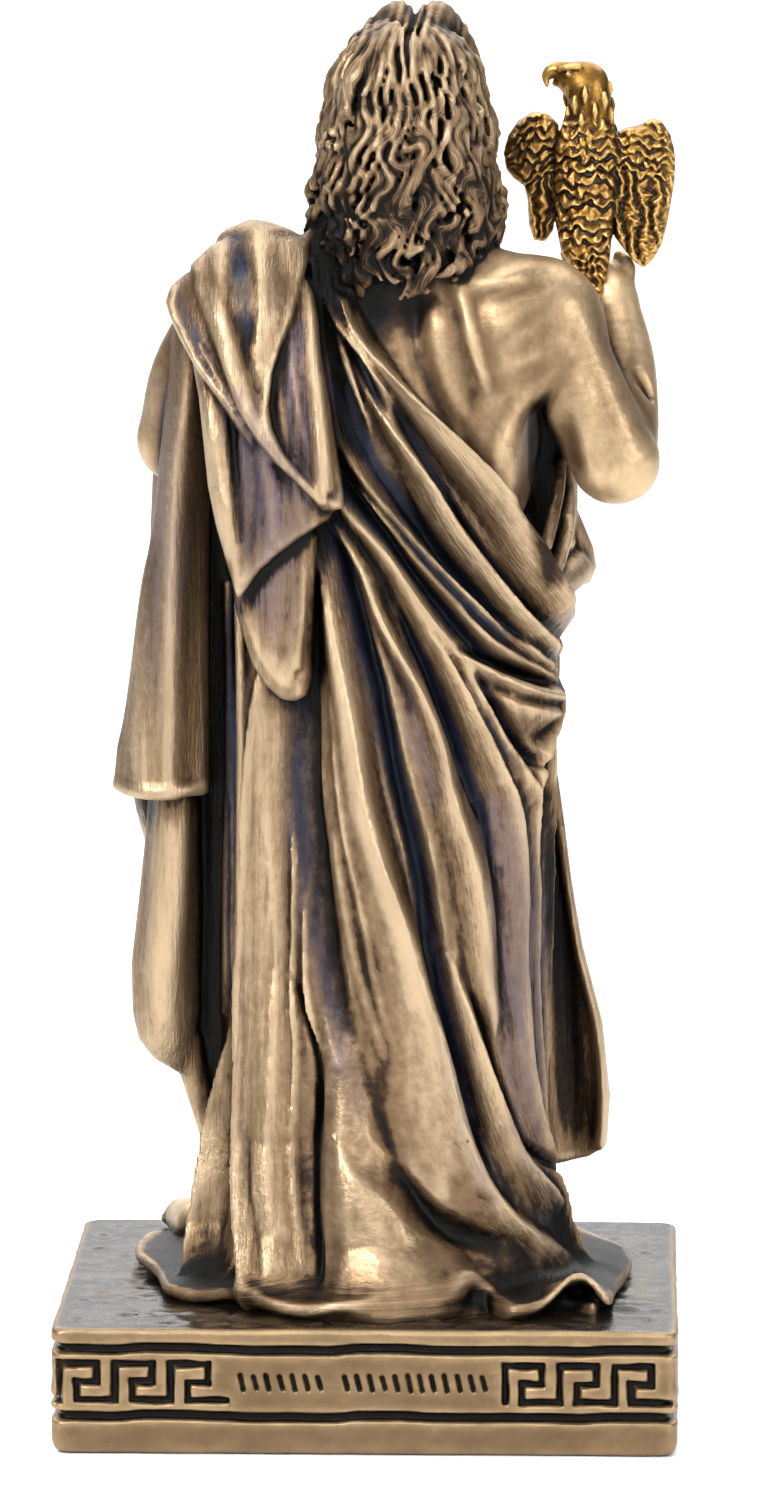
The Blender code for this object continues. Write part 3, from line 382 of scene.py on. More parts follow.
# Folds on the back: strokes of x, height, widths towards the left and the right, how proud
BACK_FOLDS = [
    ("roll_1", "roll", [(1, 62, 0.5, 1.3), (-0.3, 59.2, 0.7, 0.6, 1.6), (-2.6, 56.2, 0.9, 0.7, 1.9),
     (-5, 52.9, 1.1, 0.9, 2.1), (-7.2, 49.5, 1.3, 1, 2.3), (-9, 46.2, 1.6, 1.2, 2.4),
     (-10.3, 43.8, 1.7, 1.2, 2.4)]),
    ("roll_1_lip", "line", [(-0.1, 60, 0.25, 0.2, 0.3), (-1.9, 57.2, 0.25, 0.2, 0.4),
     (-4.6, 53.9, 0.3, 0.2, 0.45), (-7.2, 50.2, 0.3, 0.2, 0.45), (-9.6, 47.4, 0.3, 0.2, 0.3)]),
    ("roll_2", "crest", [(2.3, 63.4, 0.5, 0.4, 1.1), (1.2, 60.6, 0.5, 0.4, 1.5),
     (-0.4, 57.8, 0.5, 0.4, 1.6), (-1.7, 54.6, 0.55, 0.45, 1.7), (-3.4, 51.3, 0.6, 0.5, 1.8),
     (-4.8, 48.2, 0.6, 0.5, 1.8), (-6.4, 45.7, 0.6, 0.5, 1.8), (-8.4, 42.9, 0.6, 0.5, 1.7),
     (-10.3, 40.9, 0.5, 0.4, 1.4)]),
    ("strand_3", "crest", [(3, 60.6, 0.5, 0.35, 1.2), (2, 55.8, 0.5, 0.35, 1.5),
     (0.3, 51.7, 0.5, 0.35, 1.5), (-1.7, 48.7, 0.5, 0.35, 1.4), (-4, 45.8, 0.5, 0.35, 1.3),
     (-6.8, 42.8, 0.5, 0.35, 1.3), (-9.9, 39.9, 0.4, 0.35, 1.1)]),
    ("strand_4", "crest", [(1.9, 52.4, 0.4, 0.3, 1.1), (-0.7, 49.1, 0.4, 0.3, 1.3),
     (-2.5, 46.6, 0.4, 0.3, 1.2), (-4.8, 43.9, 0.4, 0.3, 1.1), (-7.2, 41, 0.4, 0.3, 1.1),
     (-10, 39, 0.4, 0.3, 1)]),
    ("swag_1", "crest", [(2.2, 52.2, 0.5, 0.4, 1.3), (1.1, 49.6, 0.6, 0.4, 1.6),
     (-0.9, 47, 0.6, 0.4, 1.7), (-1.9, 45.4, 0.6, 0.4, 1.7), (-3.4, 42.9, 0.7, 0.4, 1.7),
     (-5, 40.7, 0.7, 0.4, 1.7), (-7.2, 38.9, 0.5, 0.6, 1.8), (-9.5, 37.7, 0.5, 0.7, 1.7),
     (-11.3, 37, 0.4, 0.6, 0.9)]),
    ("swag_low", "crest", [(-5.4, 40, 0.7, 0.4, 1.5), (-6.5, 37.3, 0.9, 0.4, 1.5),
     (-7.4, 35.2, 0.9, 0.4, 1.5), (-8.6, 33.2, 0.9, 0.5, 1.4), (-9.6, 31.4, 0.8, 0.5, 1.3)]),
    ("swag_side", "crest", [(-11.4, 37, 0.4, 0.8), (-10.9, 35.2, 0.5, 0.4, 1),
     (-10.2, 33.4, 0.5, 0.4, 1.2), (-9.7, 31.6, 0.5, 0.4, 1.2)]),
    ("swag_belly", "crest", [(-6.6, 38, 0.8, 0.9), (-8.4, 37, 0.9, 1.3), (-10.3, 36.3, 0.8, 1.4)]),
    ("long_1", "wide", [(-2.2, 44.6, 0.5, 0.4, 1.4), (-3.4, 42.2, 0.7, 0.5, 1.5),
     (-4.6, 39.8, 0.8, 0.5, 1.6), (-5.8, 37, 0.9, 0.5, 1.6), (-7.3, 33.6, 1, 0.6, 1.6),
     (-8.6, 30.2, 1.4, 0.9, 1.2), (-9.2, 26, 1.9, 1.4, 0.8), (-9.4, 20, 2.1, 1.4, 0.6),
     (-9.6, 14, 1.6, 1.2, 0.8), (-10.6, 9, 0.9, 0.8, 1.1), (-12.4, 5, 0.9, 0.7, 1),
     (-14, 2.4, 0.9, 0.7, 0.8)]),
    ("long_2_thin", "crest", [(2, 48.6, 0.25, 0.3, 0.6), (0.3, 45.6, 0.25, 0.3, 0.9),
     (-0.9, 42.5, 0.3, 1), (-2.6, 38.9, 0.3, 1), (-4, 35.4, 0.3, 0.35, 1),
     (-4.9, 31.2, 0.5, 0.6, 1.2), (-5.8, 27.4, 0.5, 0.9, 1.4), (-6.4, 23.6, 0.5, 1, 1.4),
     (-6.8, 20.5, 0.5, 0.9, 1.2), (-7.3, 17.7, 0.4, 0.8, 0.8)]),
    ("long_2", "crest", [(-5.4, 19.6, 0.4, 0.7), (-6.2, 16.4, 0.7, 0.4, 1.2),
     (-7.2, 12.8, 0.9, 0.4, 1.5), (-8.1, 10.4, 0.9, 0.4, 1.6), (-9.2, 8.2, 0.9, 0.4, 1.5),
     (-10.8, 6, 0.8, 0.4, 1.2), (-12.6, 4.2, 0.7, 0.4, 0.8)]),
    ("long_3", "wide", [(2.7, 48.6, 0.7, 0.5, 1.3), (2, 45.4, 1.2, 0.5, 1.6),
     (1.4, 41.7, 2, 0.55, 1.8), (0.5, 36.1, 2.8, 0.6, 2), (-0.5, 30.4, 3.4, 0.6, 2.1),
     (-1.6, 25.5, 3.7, 0.65, 2.2), (-2.7, 22, 3.7, 0.7, 2.2), (-3.7, 17.7, 3.8, 0.7, 2.2),
     (-4.8, 12.6, 4.2, 0.8, 2.2), (-6.2, 8.4, 4.2, 0.9, 2), (-8.2, 5.2, 3, 1, 1.6),
     (-10.8, 3, 2, 1, 1)]),
    ("long_3_lip", "line", [(2.3, 46.8, 0.5, 0.2, 0.1), (1.3, 39, 0.7, 0.25, 0.25),
     (-0.3, 29.8, 0.9, 0.25, 0.35), (-2.4, 21.8, 0.9, 0.3, 0.35), (-4.4, 12.6, 0.8, 0.3, 0.3),
     (-6.6, 7.2, 0.7, 0.3, 0.15)]),
    ("long_3_line", "line", [(2, 38, 0.3, 0.2, 0.1), (1.2, 30, 0.35, 0.2, 0.28),
     (0, 23, 0.35, 0.2, 0.25), (-1.4, 16.4, 0.3, 0.2, 0.1)]),
    ("long_3_low", "line", [(1.9, 29, 0.4, 0.25, 0.1), (1.3, 24.4, 0.5, 0.25, 0.3),
     (0.2, 19.6, 0.5, 0.25, 0.3), (-0.9, 15.6, 0.4, 0.25, 0.1)]),
    ("fan_1", "fan", [(1.8, 16, 0.8, 0.3), (1.5, 13, 1.2, 0.8), (0.9, 10, 2, 1.6, 1.5),
     (0.1, 6.8, 2.6, 2.2, 2), (-1.2, 3.2, 3.2, 2.8, 2), (-3, 0.8, 3.4, 3, 1.7)]),
    ("long_5", "wide", [(6, 40, 0.7, 1.4, 0.9), (6.2, 36, 0.6, 1.8, 1.5), (6.5, 29, 0.6, 2, 1.9),
     (6.7, 22, 0.6, 2.6, 2), (6.7, 15, 0.7, 3.2, 2.2), (6.7, 9, 0.8, 3.6, 2.3),
     (6.7, 4.6, 0.9, 3.8, 2.3), (6.6, 1.2, 1.1, 3.8, 2)]),
    ("long_5_face", "face", [(5.4, 38, 0.8, 0.3), (5.6, 30, 0.9, 0.5), (5.7, 22, 1, 0.5),
     (5.5, 14, 1.2, 0.5), (5.3, 6, 1.3, 0.5), (5.1, 1.6, 1.3, 0.3)]),
    ("line_a", "line", [(5.6, 33, 0.15, 0.25, 0.1), (5.4, 27, 0.15, 0.25, 0.3),
     (5.1, 21.2, 0.18, 0.25, 0.35), (5.2, 14.9, 0.18, 0.25, 0.3), (5.2, 8.6, 0.18, 0.25, 0.2),
     (5, 3.4, 0.18, 0.25, 0.1)]),
    ("line_b", "line", [(4.8, 31, 0.15, 0.2, 0.15), (4.6, 26, 0.15, 0.22, 0.4),
     (4.5, 19.2, 0.18, 0.25, 0.45), (4.4, 12.9, 0.2, 0.25, 0.4), (4.2, 6.7, 0.22, 0.25, 0.35),
     (3.9, 2.6, 0.22, 0.25, 0.15)]),
    ("line_c", "line", [(4, 27, 0.15, 0.2, 0.1), (3.9, 22, 0.2, 0.25, 0.35),
     (3.6, 18, 0.2, 0.3, 0.45), (3.3, 14.7, 0.2, 0.3, 0.3), (3.1, 12.4, 0.2, 0.1)]),
    ("line_d", "line", [(6.1, 12, 0.2, 0.05), (6, 7.6, 0.25, 0.2, -0.25),
     (5.8, 3.4, 0.25, 0.2, -0.25), (5.6, 1.6, 0.2, -0.05)]),
    ("long_6", "wide", [(8.7, 17, 0.4, 0.3, 0.1), (8.8, 14.4, 0.5, 0.4, 0.7),
     (9, 10.5, 0.6, 0.5, 1.6), (9.2, 6.6, 0.8, 0.6, 2), (9.6, 3.4, 1, 0.7, 2.1),
     (9.8, 1.2, 1.1, 0.8, 1.9)]),
    ("gap_ridge", "crest", [(8.6, 43, 0.3, 0.4), (8.4, 35.3, 0.35, 0.6), (8.2, 29.6, 0.35, 0.6),
     (8.3, 22, 0.35, 0.5)]),
    ("right_1", "crest", [(-9.8, 31.6, 0.4, 0.3, 0.9), (-10.1, 27.2, 0.35, 0.3, 0.5),
     (-10.3, 20.7, 0.35, 0.3, 0.35), (-10.5, 12.1, 0.35, 0.3, 0.5), (-11.2, 6, 0.4, 0.3, 1.2),
     (-14, 2.4, 0.5, 0.4, 1.1)]),
    ("right_0", "crest", [(-10.9, 34, 0.3, 0.7), (-11, 24.4, 0.3, 0.5), (-10.9, 16, 0.3, 0.4)]),
]
DIGS = [
    [(0.6, 58.4, 0.5, -0.6), (-3, 52.9, 0.5, -0.9), (-6.4, 47.2, 0.5, -0.9), (-9, 43.6, 0.5, -0.7)],
    [(1.4, 56.6, 0.5, -0.6), (-1.2, 51.4, 0.6, -0.9), (-4.2, 46.7, 0.6, -0.8), (-8, 42, 0.5, -0.6)],
    [(2.6, 52.8, 0.6, -0.8), (0.6, 50.2, 0.5, -0.7), (-3, 45.1, 0.35, -0.5),
     (-6.2, 41.2, 0.35, -0.5)],
    [(-5.4, 40.6, 0.3, 0.4, -0.5), (-7.6, 39.5, 0.4, 0.5, -0.9), (-9.8, 38.4, 0.4, 0.5, -0.9)],
    [(-6, 38.8, 0.3, 0.5, -0.3), (-7.8, 35.8, 0.4, 0.6, -0.8), (-9.6, 33.6, 0.4, 0.6, -0.9)],
    [(3.3, 44, 0.5, 0.4, -0.6), (3.9, 38, 1.1, 0.9, -0.8), (3.7, 31, 1.3, 1, -0.8),
     (2.9, 24, 1.1, 0.9, -0.7), (1.7, 17.6, 0.9, -0.4)],
    [(4.3, 19.4, 0.2, -0.4), (3.6, 16.6, 0.22, -0.7), (3.1, 13.6, 0.3, -0.7),
     (2.95, 9.6, 0.4, -0.8), (2.9, 5.4, 0.35, -0.7), (2.8, 2.6, 0.3, -0.5)],
    [(1.4, 46, 0.3, -0.6), (0, 40.6, 0.5, -0.9), (-1.4, 34.4, 0.6, -1), (-2.9, 28.6, 0.7, -0.9),
     (-3.9, 22.5, 0.7, -0.7), (-5, 16.5, 0.5, -0.6), (-6.8, 10, 0.4, -0.5)],
    [(-2.6, 41.6, 0.3, -0.5), (-4.6, 37, 0.5, -0.8), (-6.6, 31.4, 0.5, -0.5)],
    [(0.9, 11.2, 0.5, -0.1), (0.1, 9.4, 0.8, -0.3), (-1.9, 7.6, 0.9, -0.45), (-3.4, 5.8, 1, -0.5),
     (-5.6, 4.4, 0.9, -0.4), (-8, 3.4, 0.6, -0.1)],
    [(8, 15, 0.3, -0.5), (8, 8, 0.35, -0.8), (8.1, 2.4, 0.35, -0.7)],
    [(-6.4, 18.6, 0.2, -0.3), (-7.2, 16.4, 0.22, 0.3, -0.6), (-8, 13.7, 0.25, 0.35, -0.8),
     (-8.8, 11.6, 0.25, 0.35, -0.8), (-9.7, 9.4, 0.25, 0.35, -0.8), (-11, 7.4, 0.25, 0.35, -0.6),
     (-12.6, 5.6, 0.2, 0.3, -0.2)],
    [(-7.2, 30.4, 0.2, 0.3, -0.3), (-7.6, 26, 0.25, 0.4, -0.4), (-7.9, 22, 0.25, 0.4, -0.3),
     (-8, 19, 0.2, 0.3, -0.1)],
    [(-10.7, 30, 0.2, -0.4), (-10.8, 14, 0.2, -0.4)],
]
# The top roll goes on round the hip, on the wrapped map
HIP_ROLL = [(-14.6, 42.4, 1.7, 1.2, 1), (-18, 41.6, 1.6, 1.2, 0.7), (-22.5, 41.2, 1.4, 1.2, 0.4)]
FRONT_FOLDS = [
    [(-9.4, 41, 1.5, 0.4), (-9.6, 28, 1.6, 1.4, 1), (-9.2, 14, 1.6, 1.4, 1.2),
     (-9.8, 0.8, 1.9, 1.6, 1.3)],
    [(-6.2, 38.5, 0.8, 0.9, 0), (-6.4, 27, 1, 1.1, 0.7), (-6, 15, 1.1, 1.2, 1.4),
     (-6.4, 0.8, 1.4, 1.5, 1.6)],
    [(-3.4, 36, 0.8, 0.7, 0), (-2.8, 24, 1, 0.9, 0.8), (-2.6, 13, 1.1, 1, 1.6),
     (-3, 0.8, 1.4, 1.3, 1.7)],
    [(-0.6, 36, 0.7, 0.6, 0), (0.4, 24, 0.9, 0.8, 0.8), (0.4, 14, 1, 0.9, 1.6),
     (0.2, 0.8, 1.3, 1.1, 1.7)],
    [(2, 38, 0.7, 0.6, 0), (3.2, 27, 1, 0.8, 0.8), (3.6, 15, 1.1, 0.9, 1.6),
     (3.6, 0.8, 1.4, 1.3, 1.7)],
    [(4.4, 41, 0.6, 0), (5.8, 29, 0.9, 0.8, 0.9), (6.4, 16, 1, 0.9, 1.5), (6.8, 0.8, 1.4, 1.3, 1.6)],
    [(6.8, 44, 0.6, 0.3), (7.8, 30, 0.7, 0.6, 1.1), (8.4, 16, 0.8, 0.7, 1.3),
     (9.2, 0.8, 1.2, 1, 1.4)],
    [(-10.8, 39.6, 1.3, 1.1), (-3.4, 38.6, 2, 1.6, 1.9), (3.6, 42.2, 1.8, 1.5, 1.9),
     (8.4, 47.4, 1.2, 1.2)],
    [(-10.6, 35.8, 1.2, 1), (-2.8, 33, 1.9, 1.6, 1.9), (4.6, 37.2, 1.7, 1.5, 1.9),
     (8.8, 44, 1.1, 1.1)],
    [(-10.2, 31.8, 1, 0.9), (-2.6, 27.2, 1.7, 1.5, 1.9), (4.4, 31.4, 1.5, 1.3, 1.8),
     (8.6, 39.6, 1, 1)],
]
# The bare back's edge along the top roll, and the rest of its outline on the wrapped map
BARE_EDGE = [(-0.1, 59.6), (-1.9, 57.4), (-4.6, 54.1), (-7.2, 50.5), (-9.4, 47.8), (-10.8, 45.4)]
BARE_START = [(-30.6, 45.5), (-24, 45.5), (-18, 44.5), (-15, 44.2)]
BARE_END = [(6, 67), (22, 67), (23.5, 55), (26, 49), (30.6, 46.5), (30.6, -3), (-30.6, -3)]
BARE_DEPTH = 2.4

# Lines that the cloth's grain runs along on the back: a label, then x by height
GRAIN = [
    (13, [(0, 13), (66, 13)]),
    (9.2, [(0, 9.8), (17, 8.7), (66, 8.6)]),
    (6.2, [(0, 6.6), (15, 6.6), (39, 6.1), (66, 6.1)]),
    (4.4, [(0, 3.6), (7, 4.1), (26, 4.7), (50, 4), (66, 4.4)]),
    (2.6, [(0, -11.4), (4.9, -7.9), (12.6, -4.8), (17.7, -3.7), (25.5, -1.6), (36.1, 0.5),
     (48.2, 2.6), (66, 3.6)]),
    (0, [(0, -14), (4, -11), (12, -8.3), (22.4, -6.4), (31.4, -5.1), (38.9, -2.6), (45.6, 0.3),
     (52, 2.2), (66, 3.3)]),
    (-2, [(0, -15.5), (5, -12.4), (13, -9.9), (22, -9), (31, -8.2), (36, -6.2), (42.9, -3.4),
     (49.6, 1.1), (54, 2), (66, 3)]),
    (-4, [(0, -17), (4, -13), (12, -10.6), (31, -10.2), (36, -10), (39, -9.9), (43.9, -4.8),
     (49.1, -0.7), (54, 1.4), (66, 2.7)]),
    (-6, [(0, -18), (20, -11.4), (38, -11.2), (40, -9.7), (45.8, -4), (51.7, 0.3), (60, 2.6),
     (66, 2.5)]),
    (-8, [(0, -18.8), (20, -11.8), (39, -11.6), (42.9, -8.4), (48.2, -4.8), (54.6, -1.7),
     (60.6, 1.2), (66, 2.2)]),
    (-11, [(0, -20), (20, -12.6), (40, -12.4), (43.2, -11.9), (49.4, -7.4), (56.4, -2.5), (62, 0.6),
     (66, 1)]),
    (-15, [(0, -24), (20, -16.6), (40, -16.2), (43.2, -15.6), (49.4, -11.2), (56.4, -6.4), (62, -3),
     (66, -2.6)]),
]

# Sheets on the back: their shared surface as height, y and curvature, then outlines in x, z and ridges
FLAP_SPINE = [
    (30, 9.4, 0.03), (38, 10, 0.05), (45, 10.3, 0.05), (50, 10.5, 0.04), (54, 10, 0.05),
    (58, 9, 0.06), (61.4, 7.8, 0.08), (63.9, 6.2, 0.1), (65.2, 4.6, 0.1), (66.4, 3, 0.06),
    (67.4, 1.2, 0.04)
]
FLAP = [
    (8.4, 65.9), (7.6, 66.8), (6.4, 66.6), (5.4, 65.9), (3.8, 65.6), (3.8, 64.4), (4.2, 62.8),
    (4.6, 61.2), (5.3, 59.6), (5.8, 58), (6, 56), (5.8, 54.6), (5.1, 53.1), (4, 51.8), (2.6, 50.6),
    (1.6, 50.3), (1.5, 49.6), (2.7, 49.5), (4.4, 51.4), (6.3, 53.1), (8, 55.7), (9, 58.5),
    (9.9, 60.8), (10.9, 62.8), (11.1, 64.1), (9.8, 65.3)
]
FLAP_RIDGES = [
    ([(10.9, 64.8, 0.5, 0.7, 0.2), (10.6, 62.8, 0.5, 1.3, 0.5), (9.7, 60.9, 0.5, 1.5, 0.6),
      (8.8, 58.6, 0.5, 1.5, 0.6), (7.7, 55.9, 0.5, 1.4, 0.6), (6.1, 53.6, 0.4, 1.1, 0.5),
      (4.4, 51.6, 0.4, 0.8, 0.4), (2.8, 50.2, 0.4, 0.6, 0.3)], 1.4),
    ([(7, 67, 0.8, 1.2, 0.3), (6.8, 65, 0.6, 1.3, 0.7), (6.6, 63, 0.5, 1.5, 0.8),
      (6.6, 61.2, 0.5, 1.6, 0.6), (6.8, 58.6, 0.8, 1.6, 0.3), (6.8, 56, 1, 1.2, 0.1)], 1.6),
    ([(9.4, 65.4, 0.7, 0.6, 0.3), (9.1, 62.8, 0.9, 0.6, 0.5), (8.7, 61, 0.9, 0.6, 0.4),
      (8, 59, 0.8, 0.6, 0.1)], 1.6),
    ([(3.9, 65.3, 0.3, 0.1), (4.3, 63, 0.35, 0.25, 0.25), (5.1, 60.3, 0.35, 0.25, 0.3),
      (5.8, 58, 0.35, 0.25, 0.35), (6.1, 55.9, 0.35, 0.25, 0.4), (5.8, 54.5, 0.35, 0.25, 0.4),
      (5, 53, 0.3, 0.25, 0.35), (3.8, 51.5, 0.3, 0.25, 0.3), (2.4, 50.5, 0.3, 0.25, 0.1)], 1),
    ([(8.2, 65.6, 0.7, -0.4), (7.8, 63.2, 0.6, -0.9), (7.5, 61.2, 0.5, -0.9),
      (7.2, 59.8, 0.35, -0.2)], 1.2),
    ([(7.6, 59.6, 0.3, -0.1), (7, 57.6, 0.4, -0.25), (6.6, 55.6, 0.3, -0.1)], 1),
]
RETURN = [
    (3.9, 63.4), (3.4, 62.6), (3.1, 61.2), (2.9, 59), (2.3, 55.8), (1.8, 52.3), (1.5, 50.4),
    (1.5, 49.8), (2.4, 49.4), (3.6, 50.4), (4.8, 52), (5.8, 53.4), (6.4, 55.6), (6.2, 58),
    (5.6, 60.4), (5, 62.4)
]
RETURN_RIDGES = [
    ([(3.6, 63, 0.5, 0.2, 0.1), (3.4, 61.1, 0.6, 0.2, 0.25), (3.2, 58.9, 0.8, 0.25, 0.4),
      (2.8, 55.8, 1, 0.3, 0.6), (2.5, 52.8, 1.2, 0.4, 0.8), (2.4, 51, 1.2, 0.5, 0.9)], 1.3),
    ([(4.6, 60.6, 0.3, 0.2, 0.05), (4.5, 58, 0.3, 0.25, 0.2), (4.2, 55.4, 0.3, 0.25, 0.2),
      (3.8, 53.6, 0.2, 0.05)], 1),
    ([(5.4, 58, 0.3, 0.2, 0.1), (5.2, 55.2, 0.25, 0.2), (4.9, 53.6, 0.2, 0.1)], 1),
]
LIP = [
    (11.3, 63.6), (12.3, 62.8), (12.6, 61.9), (12.2, 60.9), (11.5, 59.6), (10.5, 58), (9.2, 56.3),
    (7.9, 54.4), (7, 53.4), (7, 55), (8, 57.5), (9, 60), (9.8, 62.2), (10.3, 64)
]
LIP_RIDGES = [
    ([(12.2, 62.9, 0.3, 0.5, 0.3), (12.3, 61.6, 0.3, 0.5, 0.5), (11.3, 59.8, 0.3, 0.4, 0.4),
      (10.3, 58.2, 0.3, 0.35, 0.35), (9, 56.5, 0.3, 0.35), (7.8, 54.9, 0.3, 0.3)], 1),
    ([(10.4, 59.6, 0.2, 0.25, 0.25), (9.2, 57.6, 0.2, 0.25, 0.3), (8.2, 55.8, 0.2, 0.25)], 1),
]
MIDDLE = [
    (11.2, 60.4), (10.8, 58.2), (10.4, 56.3), (10.1, 53.8), (9.8, 51), (9.3, 48.6), (8.8, 46.8),
    (8.1, 44.4), (7.9, 44), (7.6, 44.4), (6.6, 45.8), (5.4, 46.9), (4.3, 47.7), (3.2, 48.4),
    (2.4, 48.9), (1.6, 50.2), (3.6, 52.4), (6, 54.4), (8.6, 59)
]
MIDDLE_RIDGES = [
    ([(10.8, 60, 0.4, 0.7, 0.2), (10, 56.4, 0.6, 1.4, 0.45), (9.4, 53.4, 0.7, 1.5, 0.5),
      (8.9, 50.6, 0.7, 1.5, 0.5), (8.4, 48, 0.7, 1.2, 0.5), (7.9, 45.4, 0.5, 0.8, 0.3)], 1.8),
    ([(8.2, 57.6, 0.3, -0.1), (8.3, 54.4, 0.35, 0.45, -0.5), (8, 50.6, 0.35, 0.5, -0.45),
      (7.8, 47.6, 0.3, 0.4, -0.2)], 1),
    ([(6.6, 55, 0.5, 0.05), (6.2, 52.6, 0.6, 0.3), (5.8, 49.6, 0.6, 0.3), (5.6, 47.6, 0.4, 0.1)], 1.4),
    ([(4.6, 52, 0.3, 0.05), (4.2, 50.4, 0.3, 0.2), (4, 48.8, 0.3, 0.1)], 1),
]
TONGUE = [
    (8.5, 45.6), (8.2, 43.2), (7.7, 41.4), (7.2, 39.8), (6.4, 38.5), (5.4, 37.6), (4.6, 37.4),
    (3.8, 37.8), (3.4, 39), (3.3, 41.5), (3.3, 44), (3.1, 47.8), (4.2, 49), (8, 46.8)
]
TONGUE_RIDGES = [
    ([(7.8, 45, 0.4, 1, 0.1), (7, 41.6, 0.4, 1.3, 0.3), (6, 39.6, 0.5, 1.3, 0.45),
      (5, 38.8, 0.8, 0.45)], 1.4),
    ([(3.9, 46.6, 0.8, 0.4, 0.1), (4.1, 42.8, 1, 0.5, 0.3), (4.4, 39.8, 1.1, 0.5, 0.5)], 1.4),
    ([(5.6, 47, 0.4, -0.1), (5.8, 44.6, 0.45, -0.3), (5.5, 42, 0.3, -0.15)], 1),
    ([(6.8, 46, 0.2, 0.05), (6.8, 44.4, 0.2, 0.25, 0.15), (6.6, 42.8, 0.2, 0.05)], 1),
]
# Outline, ridges, middle x, how far out, thickness, roundness of the rim, blend
BACK_SHEETS = [
    (TONGUE, TONGUE_RIDGES, 5.6, -1.7, 3.0, 0.8, 0.15),
    (MIDDLE, MIDDLE_RIDGES, 6.4, -0.35, 3.6, 0.5, 0.12),
    (LIP, LIP_RIDGES, 7.4, 0.1, 2.6, 0.5, 0.12),
    (RETURN, RETURN_RIDGES, 5.0, -0.45, 2.4, 0.4, 0.12),
    (FLAP, FLAP_RIDGES, 6.8, 0.35, 1.8, 0.5, 0.12),
]
# The cloth at the right hip: the end that sticks out, and the piece that hangs behind
HIP_END = [
    (-12, 49.6), (-12.6, 48.6), (-13.2, 47.2), (-13.8, 45.7), (-14, 44.5), (-13.6, 43.5), (-12.8, 43.4),
    (-12.1, 44.6), (-11.8, 46.8),
]
HANG = [
    (-10.2, 33), (-11.6, 31), (-12.1, 27.5), (-12.5, 24.3), (-13.2, 20.2), (-14.5, 15.2), (-15, 10.4),
    (-14.8, 7.2), (-13.6, 6.4), (-11.4, 5.9), (-9, 5.8), (-8.4, 12), (-8.6, 24),
]
HANG_RIDGES = [
    ([(-11.9, 27.8, 0.5, 0.3, 0.4), (-12.3, 24.3, 0.5, 0.3, 0.6), (-13, 20.2, 0.5, 0.3, 0.8),
      (-14.2, 15.2, 0.5, 0.4, 0.9), (-14.6, 10.4, 0.5, 0.4, 0.9), (-14.4, 7.2, 0.5, 0.4, 0.7)], 0.9),
    ([(-11.2, 30, 0.6, -0.1), (-11.8, 22, 0.8, -0.4), (-12.4, 12, 1.1, -0.5), (-12.8, 7, 1.1, -0.4)], 1.2),
]

# The cloth over the left arm: sections of the sleeve, its front and the low hang, and the sleeve's rolled rim
SLEEVE = [
    (30.6, 13.1, 1.4, 3, 4.7), (34, 13, 1.4, 2.85, 4.6), (40, 12.5, 1.2, 2.3, 4.4),
    (46, 12, 1.2, 1.8, 4.2), (52, 11.6, 1.4, 1.5, 3.8), (56, 11.3, 1.6, 1.2, 3.4),
    (60, 11, 2, 1, 3), (62, 10.8, 2, 0.7, 2.4)
]
SLEEVE_FRONT = [
    (26.6, 12.6, -3.2, 1.6, 1.8), (29, 13, -3.2, 2.1, 2.4), (32, 13.2, -3.4, 2.5, 3),
    (38, 12.9, -3.6, 2, 3), (46, 12.3, -4, 1.7, 3), (52, 12, -4.6, 1.8, 3)
]
LOW_TUBE = [
    (13.2, 11.9, 0.6, 0.6, 1.6), (14, 12.5, 0.6, 1.3, 2.4), (15.2, 12.8, 0.6, 1.9, 3),
    (17, 12.9, 0.6, 2.15, 3.4), (20, 12.9, 0.6, 2.15, 3.6), (24, 12.6, 0.6, 1.95, 3.6),
    (28, 12.4, 0.6, 1.7, 3.4), (32, 12.2, 0.6, 1.6, 3.2)
]
SLEEVE_RIM = [
    (15.8, 1.0, 31.45, 0.3), (15.4, 3.2, 31.45, 0.32), (14.5, 5.0, 31.4, 0.32), (13.0, 5.85, 31.4, 0.32),
    (11.5, 5.3, 31.5, 0.3), (10.5, 4.0, 31.6, 0.25),
]
